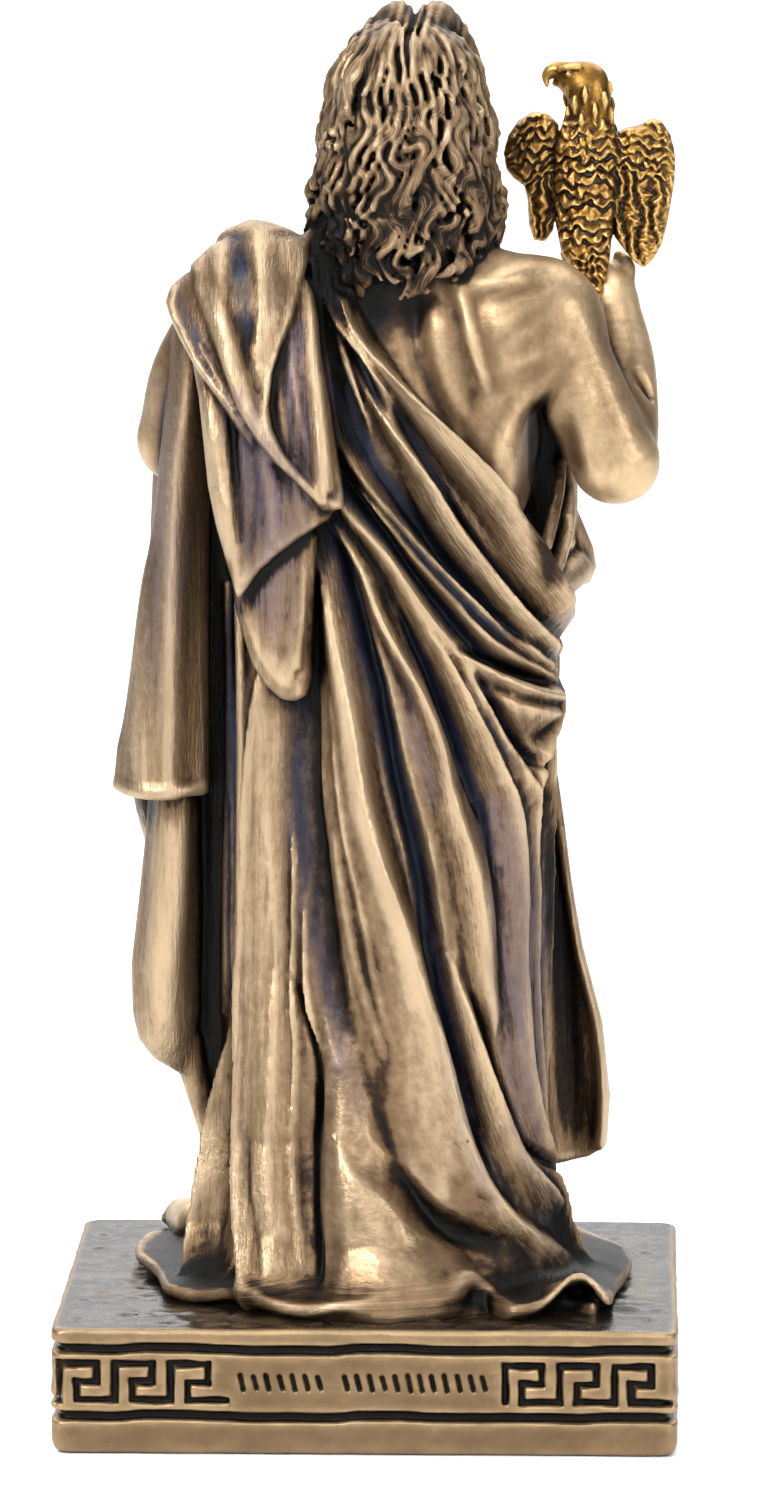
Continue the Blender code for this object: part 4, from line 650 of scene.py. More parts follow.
CLOTH_TUBES = [
    [(-11.4, 1.2, 43.8, 1), (-12.4, -2.8, 44.6, 1.3), (-9.6, -5.4, 43.6, 1.5),
     (-3.4, -7, 43.6, 1.6), (3, -7.2, 45.8, 1.6), (8, -6.8, 49.4, 1.6), (11, -5.4, 51.4, 1.4)],
    [(-12, -1.2, 46.4, 0.7), (-10.8, -4, 46, 0.9), (-6, -6.3, 45.8, 1), (0.6, -6.8, 47.4, 1),
     (6.2, -6.6, 51, 1), (9.8, -5.4, 53.4, 0.9)],
    [(-11.6, 0.6, 41.8, 0.7), (-11.4, -3.6, 41.9, 1), (-6.4, -7, 41.2, 1.1), (0, -7.6, 42.6, 1.1),
     (6, -7.3, 46.8, 1.1), (9.6, -6, 49.6, 0.9)],
    [(-12.2, 0.2, 48.2, 0.35), (-11.8, -1.6, 49, 0.4), (-9.8, -4.6, 47.6, 0.5),
     (-5, -6.2, 47.4, 0.5), (1.4, -6.4, 49.4, 0.5), (6.4, -6.2, 52.6, 0.5)],
    [(-10.9, 2.6, 46.6, 0.4), (-11.6, 1, 49.6, 0.4), (-11.8, -0.8, 52, 0.35)],
    [(-11.6, 1.6, 45.2, 0.45), (-12.3, -0.2, 48, 0.45), (-12, -2, 50.6, 0.35)],
    [(9.2, 0, 56, 1.5), (9.2, 0.2, 42, 1.6), (9.3, 0.2, 28, 1.6), (9.8, 0, 12, 1.6)],
    [(9.5, -1, 14, 1.2), (9.1, -2, 8, 1.4), (9.6, -3, 1, 2.2)],
    [(11.6, 1.6, 15, 1), (11, 1.4, 12.6, 0.9), (10, 1.2, 9, 0.8)],
    [(7.6, -1.6, 64, 1.2), (8, -4.6, 61, 1), (8.6, -6.6, 56, 1), (9, -7.4, 52, 0.9)],
    [(5.6, -1, 65, 1), (5.4, -4.4, 61.6, 0.9), (5.8, -6.6, 56.4, 0.8), (6.6, -7.4, 51.6, 0.8)],
    [(9.6, -0.6, 63, 1), (10.4, -3.4, 60, 0.9), (11, -5, 56.4, 0.8), (11.2, -6, 54, 0.7)],
    [(2.7, 3.3, 65.4, 0.2), (2.4, 5.2, 62.2, 0.28), (1.6, 6.2, 59, 0.28), (0.7, 6.6, 56.4, 0.2),
     (-0.3, 6.2, 53.6, 0.1)],
    [(3.5, 3.9, 64.6, 0.2), (3.1, 5.6, 61.6, 0.26), (2.6, 6.8, 58, 0.26), (2, 7.3, 54.6, 0.22),
     (1.2, 7.3, 52, 0.1)],
    [(8.9, 1.9, 44, 0.3), (8.75, 2.25, 34, 0.36), (8.95, 2.15, 26, 0.36), (9.1, 2, 17, 0.3)],
    [(8.2, 3, 43, 0.3), (8, 3.55, 34, 0.36), (8.1, 3.6, 26, 0.36), (8.25, 3.3, 17, 0.3)],
]
CLOTH_BANDS = [
    [(-10, -1, 57, 1.2, 1.2), (-10.6, -1.8, 52.6, 2, 1.3), (-10.8, -2.4, 48, 2, 1.5),
     (-10.6, -2.6, 43, 1.7, 1.5)],
    [(6.8, 1, 64.9, 2.9, 1.3), (7, -3.4, 62.4, 3, 1.1), (7.6, -6, 57.4, 2.9, 1),
     (8.2, -7, 52.4, 2.6, 1)],
    [(7, 5.4, 61, 3, 3), (6.6, 5.6, 55, 3.4, 3.4), (5.8, 6.2, 48, 2.6, 3), (5.4, 6.6, 42, 1.8, 2.2)],
    [(3.2, 2.6, 65.2, 1.2, 0.7), (3, 3.9, 62, 1.2, 0.8), (2.4, 4.8, 56, 1, 0.7)],
]

# The bare body: centre, radii and blend; tubes with their blend; tubes dug out; feet and face
SKIN_BALLS = [
    ((-1.8, 0.2, 53), (8.6, 6.2, 10), 0.6),
    ((-1.4, -0.6, 59), (8, 5, 5), 1),
    ((-7.9, 3.6, 59), (3.3, 2.5, 4.4), 1.2),
    ((-11, 1.5, 60.3), (3.35, 3.5, 3.7), 1.4),
    ((-9.9, 2.9, 58.4), (2.5, 2.6, 3.2), 1),
    ((-5.6, -3.3, 57.6), (4.6, 2.9, 3.5), 0.9),
    ((2.6, -3.3, 57.8), (4.6, 2.9, 3.5), 0.9),
    ((-3.4, -4.2, 50), (1.9, 2.3, 2), 0.7),
    ((0.2, -4.2, 50), (1.9, 2.3, 2), 0.7),
    ((-3.2, -4.2, 53.2), (1.8, 2.1, 1.6), 0.6),
    ((0, -4.2, 53.2), (1.8, 2.1, 1.6), 0.6),
    ((-1.6, -3.8, 46.6), (3.4, 2.6, 3), 0.8),
    ((-7.4, 2.6, 53.6), (2.6, 3.2, 5.6), 1.2),
    ((8, 1.2, 61), (3.5, 3.4, 3.2), 1),
    ((-4.4, 3.6, 57), (2, 2.6, 5.6), 1.2),
]
SKIN_TUBES = [
    ([(-1.8, 1.2, 60, 3.4), (-2, 0.6, 65, 2.9), (-2.1, 0.2, 70, 2.9)], 1),
    ([(-2.4, 2, 63.8, 2.6), (-6.5, 2.2, 62.6, 2.7), (-10.4, 1.8, 61.6, 2.8)], 1.2),
    ([(-1, 2, 63, 2.6), (4, 1.8, 61.8, 2.9), (8.2, 0.8, 60, 3.2)], 1),
    ([(-11.3, 1.7, 60, 3), (-12.5, 2.6, 57.2, 2.85), (-14.1, 3.1, 54, 2.8), (-15.1, 3.3, 52, 2.65)], 1),
    ([(-15.4, 3.3, 51.9, 2.5), (-15.3, 2.2, 52.4, 2.5), (-15.4, 0.6, 54.6, 2.45),
      (-15.5, -1.4, 57.6, 2.1), (-15.2, -3, 60.4, 1.6), (-15, -3.6, 61.6, 1.4)], 0.6),
    ([(-15, -3.6, 61.4, 1.3), (-14.4, -4.4, 62.4, 1.4), (-13.4, -4.8, 62.8, 1.2)], 0.6),
    ([(-15.6, -3.6, 62, 0.55), (-15.9, -4.4, 63.2, 0.5), (-15.4, -5.2, 63.9, 0.45)], 0.3),
    ([(-13.4, -5.6, 62.6, 0.5), (-12.4, -6.3, 63.2, 0.45), (-12, -6.2, 64, 0.4)], 0.3),
    ([(-14.2, -5.6, 62.5, 0.5), (-13.6, -6.6, 63.1, 0.45), (-13.2, -6.7, 64, 0.4)], 0.3),
    ([(8.6, 0.8, 60.4, 3.2), (11, 0, 56.8, 2.8), (12, -1.2, 53, 2.6)], 1),
    ([(12, -1.2, 52.6, 2.6), (11.6, -5, 52.6, 2.1), (9.8, -8.4, 53.4, 1.5)], 0.6),
    ([(9.4, -8.8, 53.5, 1.5), (7.6, -9.6, 53.2, 1.4), (6.4, -9.4, 52.6, 1)], 0.5),
    ([(8.4, -9.9, 54.2, 0.6), (7, -10.8, 53.9, 0.5), (6, -10.5, 53.2, 0.45)], 0.3),
    ([(8.2, -10, 53, 0.6), (6.6, -10.9, 52.7, 0.5), (5.7, -10.3, 52.1, 0.45)], 0.3),
    ([(-5, -7.6, 1.4, 1.6), (-5.4, -11.6, 1, 1.5), (-5.8, -13.4, 0.8, 1.2)], 0.5),
    ([(11, -5.6, 1.6, 1.8), (12, -10.4, 1.1, 1.5), (12.7, -13.4, 0.8, 1.2)], 0.5),
]
SKIN_DIGS = [
    ([(-3, 6.6, 62.4, 0.5), (-3.6, 6.7, 58.6, 0.6), (-4.6, 6.6, 54.6, 0.5)], 1.4),
    ([(-6, 7, 61, 0.25), (-6.1, 7, 58.8, 0.4), (-6.6, 6.9, 56.8, 0.3)], 1),
    ([(-11, 6.6, 57, 0.3), (-11.6, 6, 54.6, 0.7), (-12, 5, 52, 0.9)], 0.9),
    ([(-16.2, 3, 61.6, 0.2), (-16.4, 1.8, 58.6, 0.35), (-17.2, 1.2, 55.8, 0.25)], 0.7),
]
FACE = [
    [(0, -6, 74, 0.45), (0, -6.7, 72.4, 0.55), (0, -6.8, 71.7, 0.6)],
    [(-0.5, -5.9, 74.3, 0.4), (-1.7, -5.7, 74.8, 0.45), (-2.8, -4.6, 74.3, 0.4)],
    [(0.5, -5.9, 74.3, 0.4), (1.7, -5.7, 74.8, 0.45), (2.8, -4.6, 74.3, 0.4)],
    [(-0.9, -5.5, 73.4, 0.5), (-2, -5.2, 73.4, 0.45)],
    [(0.9, -5.5, 73.4, 0.5), (2, -5.2, 73.4, 0.45)],
    [(-2.2, -4.4, 72, 0.9), (-2.4, -4.2, 71.2, 0.8)],
    [(2.2, -4.4, 72, 0.9), (2.4, -4.2, 71.2, 0.8)],
    [(-0.6, -6.1, 69.6, 0.35), (0, -6.3, 69.5, 0.4), (0.6, -6.1, 69.6, 0.35)],
]
HEAD = (-2.1, -0.8, 73.2)
# Muscles of the bare back and arm: strokes, then the power of their profile
SKIN_STROKES = [
    ([(-5.3, 63.4, 0.5, 0.05), (-5.8, 61.8, 0.45, 0.5, 0.35), (-6.3, 59.6, 0.45, 0.5, 0.45),
      (-6.9, 57.6, 0.4, 0.45, 0.35), (-7.5, 56, 0.3, 0.05)], 1.5),
    ([(-4.9, 62.6, 0.6, 0.5, -0.1), (-5.2, 60.4, 0.8, 0.6, -0.2), (-5.8, 57.8, 0.8, 0.6, -0.2),
      (-6.4, 55.6, 0.5, -0.2)], 1.4),
    ([(-6.7, 61.8, 0.4, 0.6, -0.15), (-7.1, 59.8, 0.45, 0.8, -0.28), (-7.7, 57.8, 0.45, 0.8, -0.2),
      (-8.4, 56.4, 0.4, -0.1)], 1.4),
    ([(-6.2, 62.9, 0.5, 0.1), (-7.8, 63.4, 0.55, 0.5, 0.35), (-9.4, 64, 0.55, 0.5, 0.25),
      (-10.6, 64.4, 0.4, 0.05)], 1.4),
    ([(-7, 62, 0.5, 0.4, -0.1), (-8.8, 62.5, 0.5, 0.4, -0.3), (-10.6, 62.9, 0.5, 0.4, -0.15)], 1.2),
    ([(-8, 60.2, 0.35, 0.05), (-8.8, 61, 0.35, 0.1), (-10, 61.9, 0.3, 0.05)], 1),
    ([(-8.3, 59, 0.35, 0.05), (-9.4, 60, 0.35, 0.1), (-10.8, 61, 0.3, 0.05)], 1),
    ([(-9, 58, 0.35, 0.05), (-10.2, 58.9, 0.35, 0.08), (-11.4, 59.6, 0.3, 0.05)], 1),
    ([(-6.8, 56.4, 0.4, -0.1), (-8.4, 57.2, 0.6, -0.16), (-10, 57.8, 0.6, -0.25),
      (-11.2, 58.2, 0.4, -0.1)], 1.2),
    ([(-10.6, 57, 0.5, 0.7, 0.05), (-9.4, 55.6, 0.6, 0.8, 0.35), (-8.2, 53.2, 0.6, 0.8, 0.35),
      (-7.2, 50.2, 0.5, 0.6, 0.1)], 1.5),
    ([(-11.6, 57.2, 0.3, 0.4, -0.1), (-10.4, 55, 0.35, 0.5, -0.5), (-9.6, 52.4, 0.4, 0.6, -0.6),
      (-9.2, 49.6, 0.4, 0.6, -0.4)], 1),
    ([(-12.6, 60.6, 0.5, -0.05), (-13.6, 58, 0.5, -0.18), (-14.6, 55.4, 0.5, -0.2),
      (-15.6, 53.4, 0.4, -0.05)], 1.3),
    ([(-13.2, 55.4, 0.5, 0.05), (-14.2, 53.6, 0.6, 0.5, 0.15), (-15.4, 52.2, 0.5, 0.1)], 1.4),
    ([(-4.6, 55.4, 0.4, -0.05), (-5.6, 54.6, 0.4, -0.2), (-6.4, 53, 0.4, -0.15)], 1),
    ([(-2.4, 62.6, 0.7, -0.2), (-3, 59.4, 0.7, -0.45), (-4, 56.2, 0.6, -0.4),
      (-5.2, 52.8, 0.5, -0.2)], 1.6),
]

# The hem's outline on the plinth: x, y
HEM = [
    (14.2, -7), (15, -0.8), (13.4, 4), (12.6, 8.4), (10.5, 9.6), (7.9, 11.2), (5.1, 13.4),
    (1.5, 14.6), (-2.1, 13.6), (-4.6, 13), (-7, 11), (-8, 11.6), (-9, 13.8), (-11, 13.4),
    (-13.4, 11.6), (-15.1, 12.6), (-15.3, 8), (-16.4, 0), (-15.6, -5.6), (-12.5, -9.8), (-6, -11.4),
    (1, -11.8), (8, -11.2)
]

# The hair's shell: height, half width, half depth
HAIR_SHELL = [
    (78.9, 1.6, 1.6), (77.6, 3.4, 3.5), (75.6, 4.5, 4.9), (73, 5, 5.6), (70, 5.4, 6.1),
    (67, 5.8, 6.4), (63.6, 5.6, 6.2), (61.8, 5.2, 6)
]
HAIR_MIDDLE = (-2.2, 0.3)
FULL, RIMS, SINGLE = (-0.54, -0.18, 0.18, 0.54), (-0.42, 0.42), (0.0,)
PAIR, THREE = (-0.18, 0.18), (-0.36, 0.0, 0.36)
# Rows of locks: how many, heights of their tops and ends, swing, waves, how proud, offsets of their strands,
# radius, reach round the head, hook of the end
LOCK_ROWS = [
    (46, (78.6, 78.9), (74.6, 76.6), 0.18, 0.9, -0.10, [SINGLE, PAIR], 0.24, 2.7, 0.1),
    (17, (76.8, 77.6), (69.4, 71.6), 0.50, 1.5, 0.05, [THREE, RIMS, RIMS, FULL], 0.23, 2.45, 0.8),
    (19, (73.6, 75.4), (65.8, 68.0), 0.65, 1.8, 0.1, [THREE, RIMS, FULL, RIMS], 0.23, 2.35, 1.0),
    (19, (70.4, 72.0), (63.0, 65.2), 0.75, 1.8, 0.05, [THREE, RIMS, FULL, RIMS], 0.23, 2.3, 1.2),
    (17, (67.0, 68.6), (61.6, 63.2), 0.75, 1.4, -0.05, [THREE, RIMS, FULL], 0.24, 2.0, 1.4),
]
PARTING = [
    (-2.7, -1.6, 80.2, 0.42), (-2.6, 0.4, 79.5, 0.5), (-2.5, 2.0, 78.6, 0.5), (-2.3, 3.6, 77.2, 0.42),
    (-2.2, 4.6, 75.8, 0.25),
]


def back_sheet(middle, out):
    """The surface that the sheets on the back share, bowed about a middle x and moved out."""
    heights, places, bows = np.array(FLAP_SPINE).T
    return lambda x, z: np.interp(z, heights, places) + out - np.interp(z, heights, bows) * (x - middle) ** 2


def cloth_streaks(x, z, edge):
    threads = np.sin(7.1 * x + 0.6 * np.sin(0.9 * z)) * np.sin(2.3 * x + 0.35 * z)
    return 0.045 * threads + 0.06 * np.sin(0.9 * z + 1.6 * x)


def fold_map():
    """The map of the skirt's and the back's folds, sunk where the back is bare."""
    canvas = new_canvas((-TURN / 2 - 0.2, -2.0), (TURN / 2 + 0.2, 67.0), FOLD_MAP_STEP)
    for name, kind, points in BACK_FOLDS:
        power, grow, how, crested = FOLD_KINDS[kind]
        points = [(x, z, p * grow, m * grow, h) for x, z, p, m, h in two_sided(points)]
        points = faded(points) if how == "max" else points
        points = [(wrap(x, z), z, *rest) for x, z, *rest in points]
        if name == "roll_1":
            points = points[:-1] + two_sided(HIP_ROLL)
        canvas.ridge(points, power, how, crested)
    for points in FRONT_FOLDS:
        wrapped = [(wrap(x, z, -1.0) % TURN, z, *rest) for x, z, *rest in points]
        for shift in (0.0, TURN):
            canvas.ridge([(a - shift, *rest) for a, *rest in wrapped], 1.2, "max")
    for points in DIGS:
        dug = faded(two_sided(points), 0.4, 0.4)
        canvas.ridge([(wrap(x, z), z, p * 1.1, m * 1.1, h * 1.3) for x, z, p, m, h in dug])
    outline = [*BARE_START, *[(wrap(x, z), z) for x, z in reversed(BARE_EDGE)]]
    outline += [(wrap(x, z), z) for x, z in ((0.9, 62.2), (1.6, 64.5))] + BARE_END
    bare = np.clip(canvas.polygon(outline) / 0.35 + 0.5, 0, 1)
    canvas.h -= BARE_DEPTH * ease(bare)
    canvas.roughen(0.07, 0.42, 3.4, 5)
    canvas.roughen(0.09, 1.5, 3.0, 6)
    canvas.roughen(0.04, 0.5, 0.8, 7)
    return canvas


def add_left_arm_cloth(cloth):
    everywhere = (slice(None), slice(None), slice(None))
    X, Y, Z = cloth.window(cloth.low - 1, [axis[-1] + 1 for axis in cloth.axes])[1:]
    ripples = 0.16 * np.sin(1.6 * Y + 0.08 * Z) + 0.12 * np.sin(3.1 * X + 1.0)
    sleeve_end = 31.15 + 0.05 * (X - 13.0) - Z
    sleeve = smooth_max(stack_distance(cloth, SLEEVE) - ripples, sleeve_end, 0.3)
    cloth.merge(everywhere, sleeve.astype(np.float32), 0.15)
    cloth.merge(everywhere, (stack_distance(cloth, SLEEVE_FRONT) - ripples).astype(np.float32), 0.15)
    low_hang = stack_distance(cloth, LOW_TUBE) - 0.1 * np.sin(2.2 * Y + 0.2 * Z)
    cloth.merge(everywhere, low_hang.astype(np.float32), 0.15)
    cloth.tube(SLEEVE_RIM, 0.6)


def hem_bump(x, y, edge):
    """The hem rises inwards, with two peaked waves, a thin lip and soft ripples."""
    inside = np.clip(-edge, 0, 6)
    waves = 1.25 * np.exp(-((x + 6.4) ** 2 / 2.0 + (y - 11.2) ** 2 / 3.0))
    waves += 1.45 * np.exp(-((x + 13.2) ** 2 / 3.4 + (y - 11.6) ** 2 / 4.0))
    lip = 0.10 * bell(edge + 0.2, 0.2) - 0.16 * bell(edge + 1.0, 0.6)
    ripple = 0.22 * np.sin(0.95 * x + 0.5) * np.exp(-inside / 1.6)
    return 0.12 * inside + waves + lip + ripple + 0.08 * np.sin(1.3 * x + 0.7 * y) * np.sin(0.9 * y - 0.4 * x)


def add_hem(cloth):
    closed = [(*p, 0) for p in (HEM[-1], *HEM, HEM[0])]
    hem_edge = [tuple(p[:2]) for p in smooth_path(closed, 4)][4:-4]
    under = [(0.94 * x, 0.94 * y) for x, y in hem_edge]
    cloth.sheet("xy", under, lambda x, y: 0.55, 2.2, 0.3, (), 0.4)
    cloth.sheet("xy", hem_edge, lambda x, y: 0.82, 0.5, 0.2, (), 1.5, hem_bump)


def carve_cloth():
    cloth = new_field((-19.4, -17.2, -1.2), (17.4, 16.6, 81.4), FIGURE_STEP)
    cloth.d = stack_distance(cloth, CORE, fold_map())
    for outline, ridges, middle, out, thick, rim, blend in BACK_SHEETS:
        streaks = None if outline is FLAP else cloth_streaks
        cloth.sheet("xz", outline, back_sheet(middle, out), thick, rim, ridges, blend, streaks)
    add_left_arm_cloth(cloth)
    for points in CLOTH_TUBES:
        cloth.tube(points, 0.35)
    for points in CLOTH_BANDS:
        cloth.band(points, (0, 1, 0), 0.4)
    cloth.sheet("xz", HIP_END, lambda x, z: -2.4 - 0.25 * (x + 12.4) ** 2, 1.8, 0.6, (), 0.2)
    cloth.sheet("xz", HANG, lambda x, z: -4.6 + 0.02 * (z - 20), 1.9, 0.6, HANG_RIDGES)
    add_hem(cloth)
    return cloth


def add_toes(skin):
    for foot_x, foot_y, turn in ((-5.8, -13.6, -0.05), (12.7, -13.6, 0.12)):
        for k in range(5):
            x = foot_x + (k - 2) * 0.52
            long = 1.1 - 0.16 * k if foot_x < 0 else 0.46 + 0.16 * k
            toe = [(x, foot_y + 0.6, 0.75, 0.36), (x + turn, foot_y - long * 0.7, 0.5, 0.32)]
            skin.tube(toe, 0.15, smooth=False)


def carve_skin(skin):
    for centre, radii, blend in SKIN_BALLS:
        skin.ball(centre, radii, blend)
    for points, blend in SKIN_TUBES:
        skin.tube(points, blend)
    for points, blend in SKIN_DIGS:
        skin.tube(points, blend, dig=True)
    add_toes(skin)
    skin.ball(HEAD, (4.2, 5.1, 5.4), 0.6)
    skin.ball((HEAD[0], -3.4, 70.2), (2.9, 2.6, 3.0), 0.8)
    for points in FACE:
        skin.tube([(HEAD[0] + x, y, z, r) for x, y, z, r in points], 0.3)
    relief = new_canvas((-19.0, 44.0), (4.0, 67.0), SKIN_MAP_STEP)
    for points, power in SKIN_STROKES:
        spread = faded(two_sided(points), 0.5, 0.5)
        relief.ridge([(x, z, 1.5 * p, 1.5 * m, 0.62 * h) for x, z, p, m, h in spread], power + 0.6)
    relief.roughen(0.03, 0.9, 1.2, 61)
    relief.roughen(0.05, 2.0, 2.6, 62)
    win, X, Y, Z = skin.window((-19.0, 0.0, 45.0), (3.0, 9.0, 66.0))
    skin.d[win] -= (relief.at(X + 0 * Z, Z + 0 * X) * rise(Y, 0.6, 1.5)).astype(np.float32)


def hair_point(turn, z, proud):
    """A place on the hair's shell, from the angle round the head and the height."""
    rows = np.array(sorted(HAIR_SHELL))
    wide, deep = np.interp(z, rows[:, 0], rows[:, 1]), np.interp(z, rows[:, 0], rows[:, 2])
    x = HAIR_MIDDLE[0] + (wide + proud) * math.sin(turn)
    return x, HAIR_MIDDLE[1] + (deep + proud) * math.cos(turn), z


def add_locks(hair, rng, count, tops, ends, swing, waves, proud, offsets, radius, reach, hook):
    """Wavy locks of thin strands, spread round the back and sides of the head."""
    shell = 5.6
    for k in range(count):
        at = (2.0 * (k + 0.5) / count - 1.0) * reach + rng.uniform(-0.5, 0.5) * reach / count
        top, low = rng.uniform(*tops), rng.uniform(*ends) + 1.6 * max(0.0, abs(at) - 1.6)
        phase, turns = rng.uniform(0, 6.28), waves * rng.uniform(0.8, 1.2)
        wide, curl = swing * rng.uniform(0.7, 1.3), hook * rng.choice([-1.0, 1.0]) * rng.uniform(0.6, 1.2)
        lifted = proud + rng.uniform(-0.25, 0.25)
        for offset in offsets[rng.integers(len(offsets))]:
            path = []
            for share in np.linspace(0, 1, 20):
                angle = turns * 6.28 * share + phase
                growth = 0.35 + 0.65 * share
                end = max(0.0, (share - 0.78) / 0.22)
                turn = at * (0.86 + 0.14 * share)
                turn += (wide * math.sin(angle) * growth + offset * (1 - 0.5 * end) + curl * end**2) / shell
                z = top + (low - top) * share + 0.55 * abs(curl) * end**3
                out = lifted + 0.28 * math.cos(angle) * (0.4 + 0.6 * share)
                out -= 0.25 * abs(offset) + 0.3 * (share < 0.06)
                thick = (0.75 + 0.5 * math.sin(math.pi * min(1, share + 0.15))) * (1 - 0.35 * end)
                path.append((*hair_point(turn, z, out), radius * thick))
            hair.tube(path, 0.06, smooth=False)


def add_brow_rolls(hair, way):
    """The roll of hair from the parting down one side of the face, with strands on it."""
    hair.tube([
        (-2.8 + way * 0.7, 0.4, 78.2, 0.8), (-2.8 + way, -0.9, 79.0, 1.0),
        (-2.7 + way * 1.7, -2.5, 78.6, 1.05), (-2.4 + way * 3.2, -3.6, 76.6, 1.0),
        (-2.1 + way * 4.1, -4.0, 73.6, 0.7)], 0.4)
    for shift in (-0.7, -0.25, 0.25, 0.7):
        hair.tube([
            (-2.8 + way * 0.6 + 0.5 * shift, 0.9, 78.6, 0.2),
            (-2.8 + way + 0.8 * shift, -0.8, 79.9 - 0.4 * shift**2, 0.22),
            (-2.7 + way * 1.7 + 0.7 * shift, -2.6 + 0.2 * shift, 79.5 - 0.4 * abs(shift), 0.22),
            (-2.3 + way * 3.4, -3.7 + shift, 77.2, 0.22),
            (-2.1 + way * 4.4, -4.0 + shift, 74.0, 0.2)], 0.08)


def add_beard(hair):
    """Three rows of short curls round the chin, and the moustache."""
    for k in range(9):
        way = (k - 4) / 4.0
        for j, (lift, out) in enumerate(((0.0, 0.0), (1.5, -0.55), (2.9, -1.2))):
            if j and abs(way) < 0.3:
                continue
            x = HEAD[0] + 2.4 * way * (1.0 + 0.12 * j)
            y = -6.2 + 1.6 * way * way - out * 0.5 * abs(way) + 0.25 * j
            swing = 0.25 if (k + j) % 2 else -0.25
            hair.tube([
                (x, y + 0.7, 69.6 + lift * 0.8, 0.5), (x + swing, y, 68.0 + lift, 0.55),
                (x - swing + 0.2 * way, y - 0.1, 66.4 + lift + 0.6 * abs(way), 0.45),
                (x + 0.3 * way, y + 0.1, 65.2 + lift + 0.9 * abs(way), 0.25)], 0.15)
    for way in (-1.0, 1.0):
        x = HEAD[0]
        hair.tube([
            (x + way * 0.2, -6.7, 71.0, 0.35), (x + way * 1.3, -6.3, 70.4, 0.45),
            (x + way * 2.2, -5.6, 69.2, 0.35)], 0.15)


def hair_flow(x, y, z):
    """Distance round the head with the waves taken out, so that its lines follow the locks."""
    turn = np.arctan2(x - HAIR_MIDDLE[0], y - HAIR_MIDDLE[1]) * 5.4
    wave = 0.48 * fall(z, 77.6, 5.0)
    return turn + wave * np.sin(1.9 * z + 1.9 * np.sin(0.9 * turn) + 0.8 * np.sin(2.3 * turn + 1.0))


def ripple_hair(hair):
    """Fine waves along the locks, and straight ones across the crown."""
    win, X, Y, Z = hair.window((-9.0, -7.0, 60.5), (5.0, 8.4, 81.0))
    flow = hair_flow(X, Y, Z)
    ripple = np.sin(2 * math.pi * flow / 0.78 + 1.2 * np.sin(0.7 * Z + 0.5 * flow))
    broad = 0.5 * np.sin(2 * math.pi * flow / 1.9 + 0.6 * Z)
    ripple = ripple * (0.62 + 0.38 * np.sin(1.3 * flow + 0.9 * Z)) + broad
    across = np.sin(2 * math.pi * (X + 0.25 * Z) / 0.62) * (0.6 + 0.4 * np.sin(1.7 * X))
    crown = rise(Z, 77.0, 1.6)
    ripple = ripple * (1 - crown) + crown * across
    hair.d[win] -= (0.13 * ripple * rise(Y, -5.0, 2.0)).astype(np.float32)


def carve_hair(hair):
    rng = np.random.default_rng(11)
    hair.ball((-2.1, 0.6, 72.6), (4.0, 4.6, 5.3), 0.5)
    hair.ball((-2.0, 1.6, 68.0), (4.5, 4.0, 4.8), 0.5)
    hair.ball((-2.0, 2.2, 64.8), (4.5, 3.4, 2.6), 0.5)
    win, X, Y, Z = hair.window((-8.5, -7.0, 60.0), (4.5, 8.0, 81.0))
    face_cut = Y + 2.2 + 0.12 * (Z - 72)
    hair.d[win] = smooth_max(hair.d[win], np.where(Z < 76.5, -face_cut, -FAR).astype(np.float32), 0.5)
    for row in LOCK_ROWS:
        add_locks(hair, rng, *row)
    for way in (-1.0, 1.0):
        add_brow_rolls(hair, way)
    hair.tube(PARTING, 0.25, dig=True)
    ripple_hair(hair)
    add_beard(hair)


def blurred_solid(field, radius):
    """The share of solid round each place, 0.5 on a flat surface and more in a hollow."""
    made = np.clip(0.5 - field.d / (1.6 * field.step), 0, 1).astype(np.float32)
    n = max(1, int(round(radius / field.step)))
    for axis in range(3):
        pad = [(0, 0)] * 3
        pad[axis] = (n + 1, n)
        total = np.cumsum(np.pad(made, pad, mode="edge"), axis=axis, dtype=np.float32)
        size = made.shape[axis]
        ahead = np.take(total, np.arange(2 * n + 1, 2 * n + 1 + size), axis)
        made = (ahead - np.take(total, np.arange(0, size), axis)) / (2 * n + 1)
    return made


def sample(field, values, points):
    """Values on the field's grid, at any points."""
    place = np.clip((points - field.low) / field.step, 0, np.array(field.shape) - 1.001)
    low = place.astype(int)
    t = place - low
    total = 0
    for corner in range(8):
        pick = [(corner >> k) & 1 for k in range(3)]
        weight = np.prod([t[:, k] if pick[k] else 1 - t[:, k] for k in range(3)], axis=0)
        total = total + weight * values[low[:, 0] + pick[0], low[:, 1] + pick[1], low[:, 2] + pick[2]]
    return total


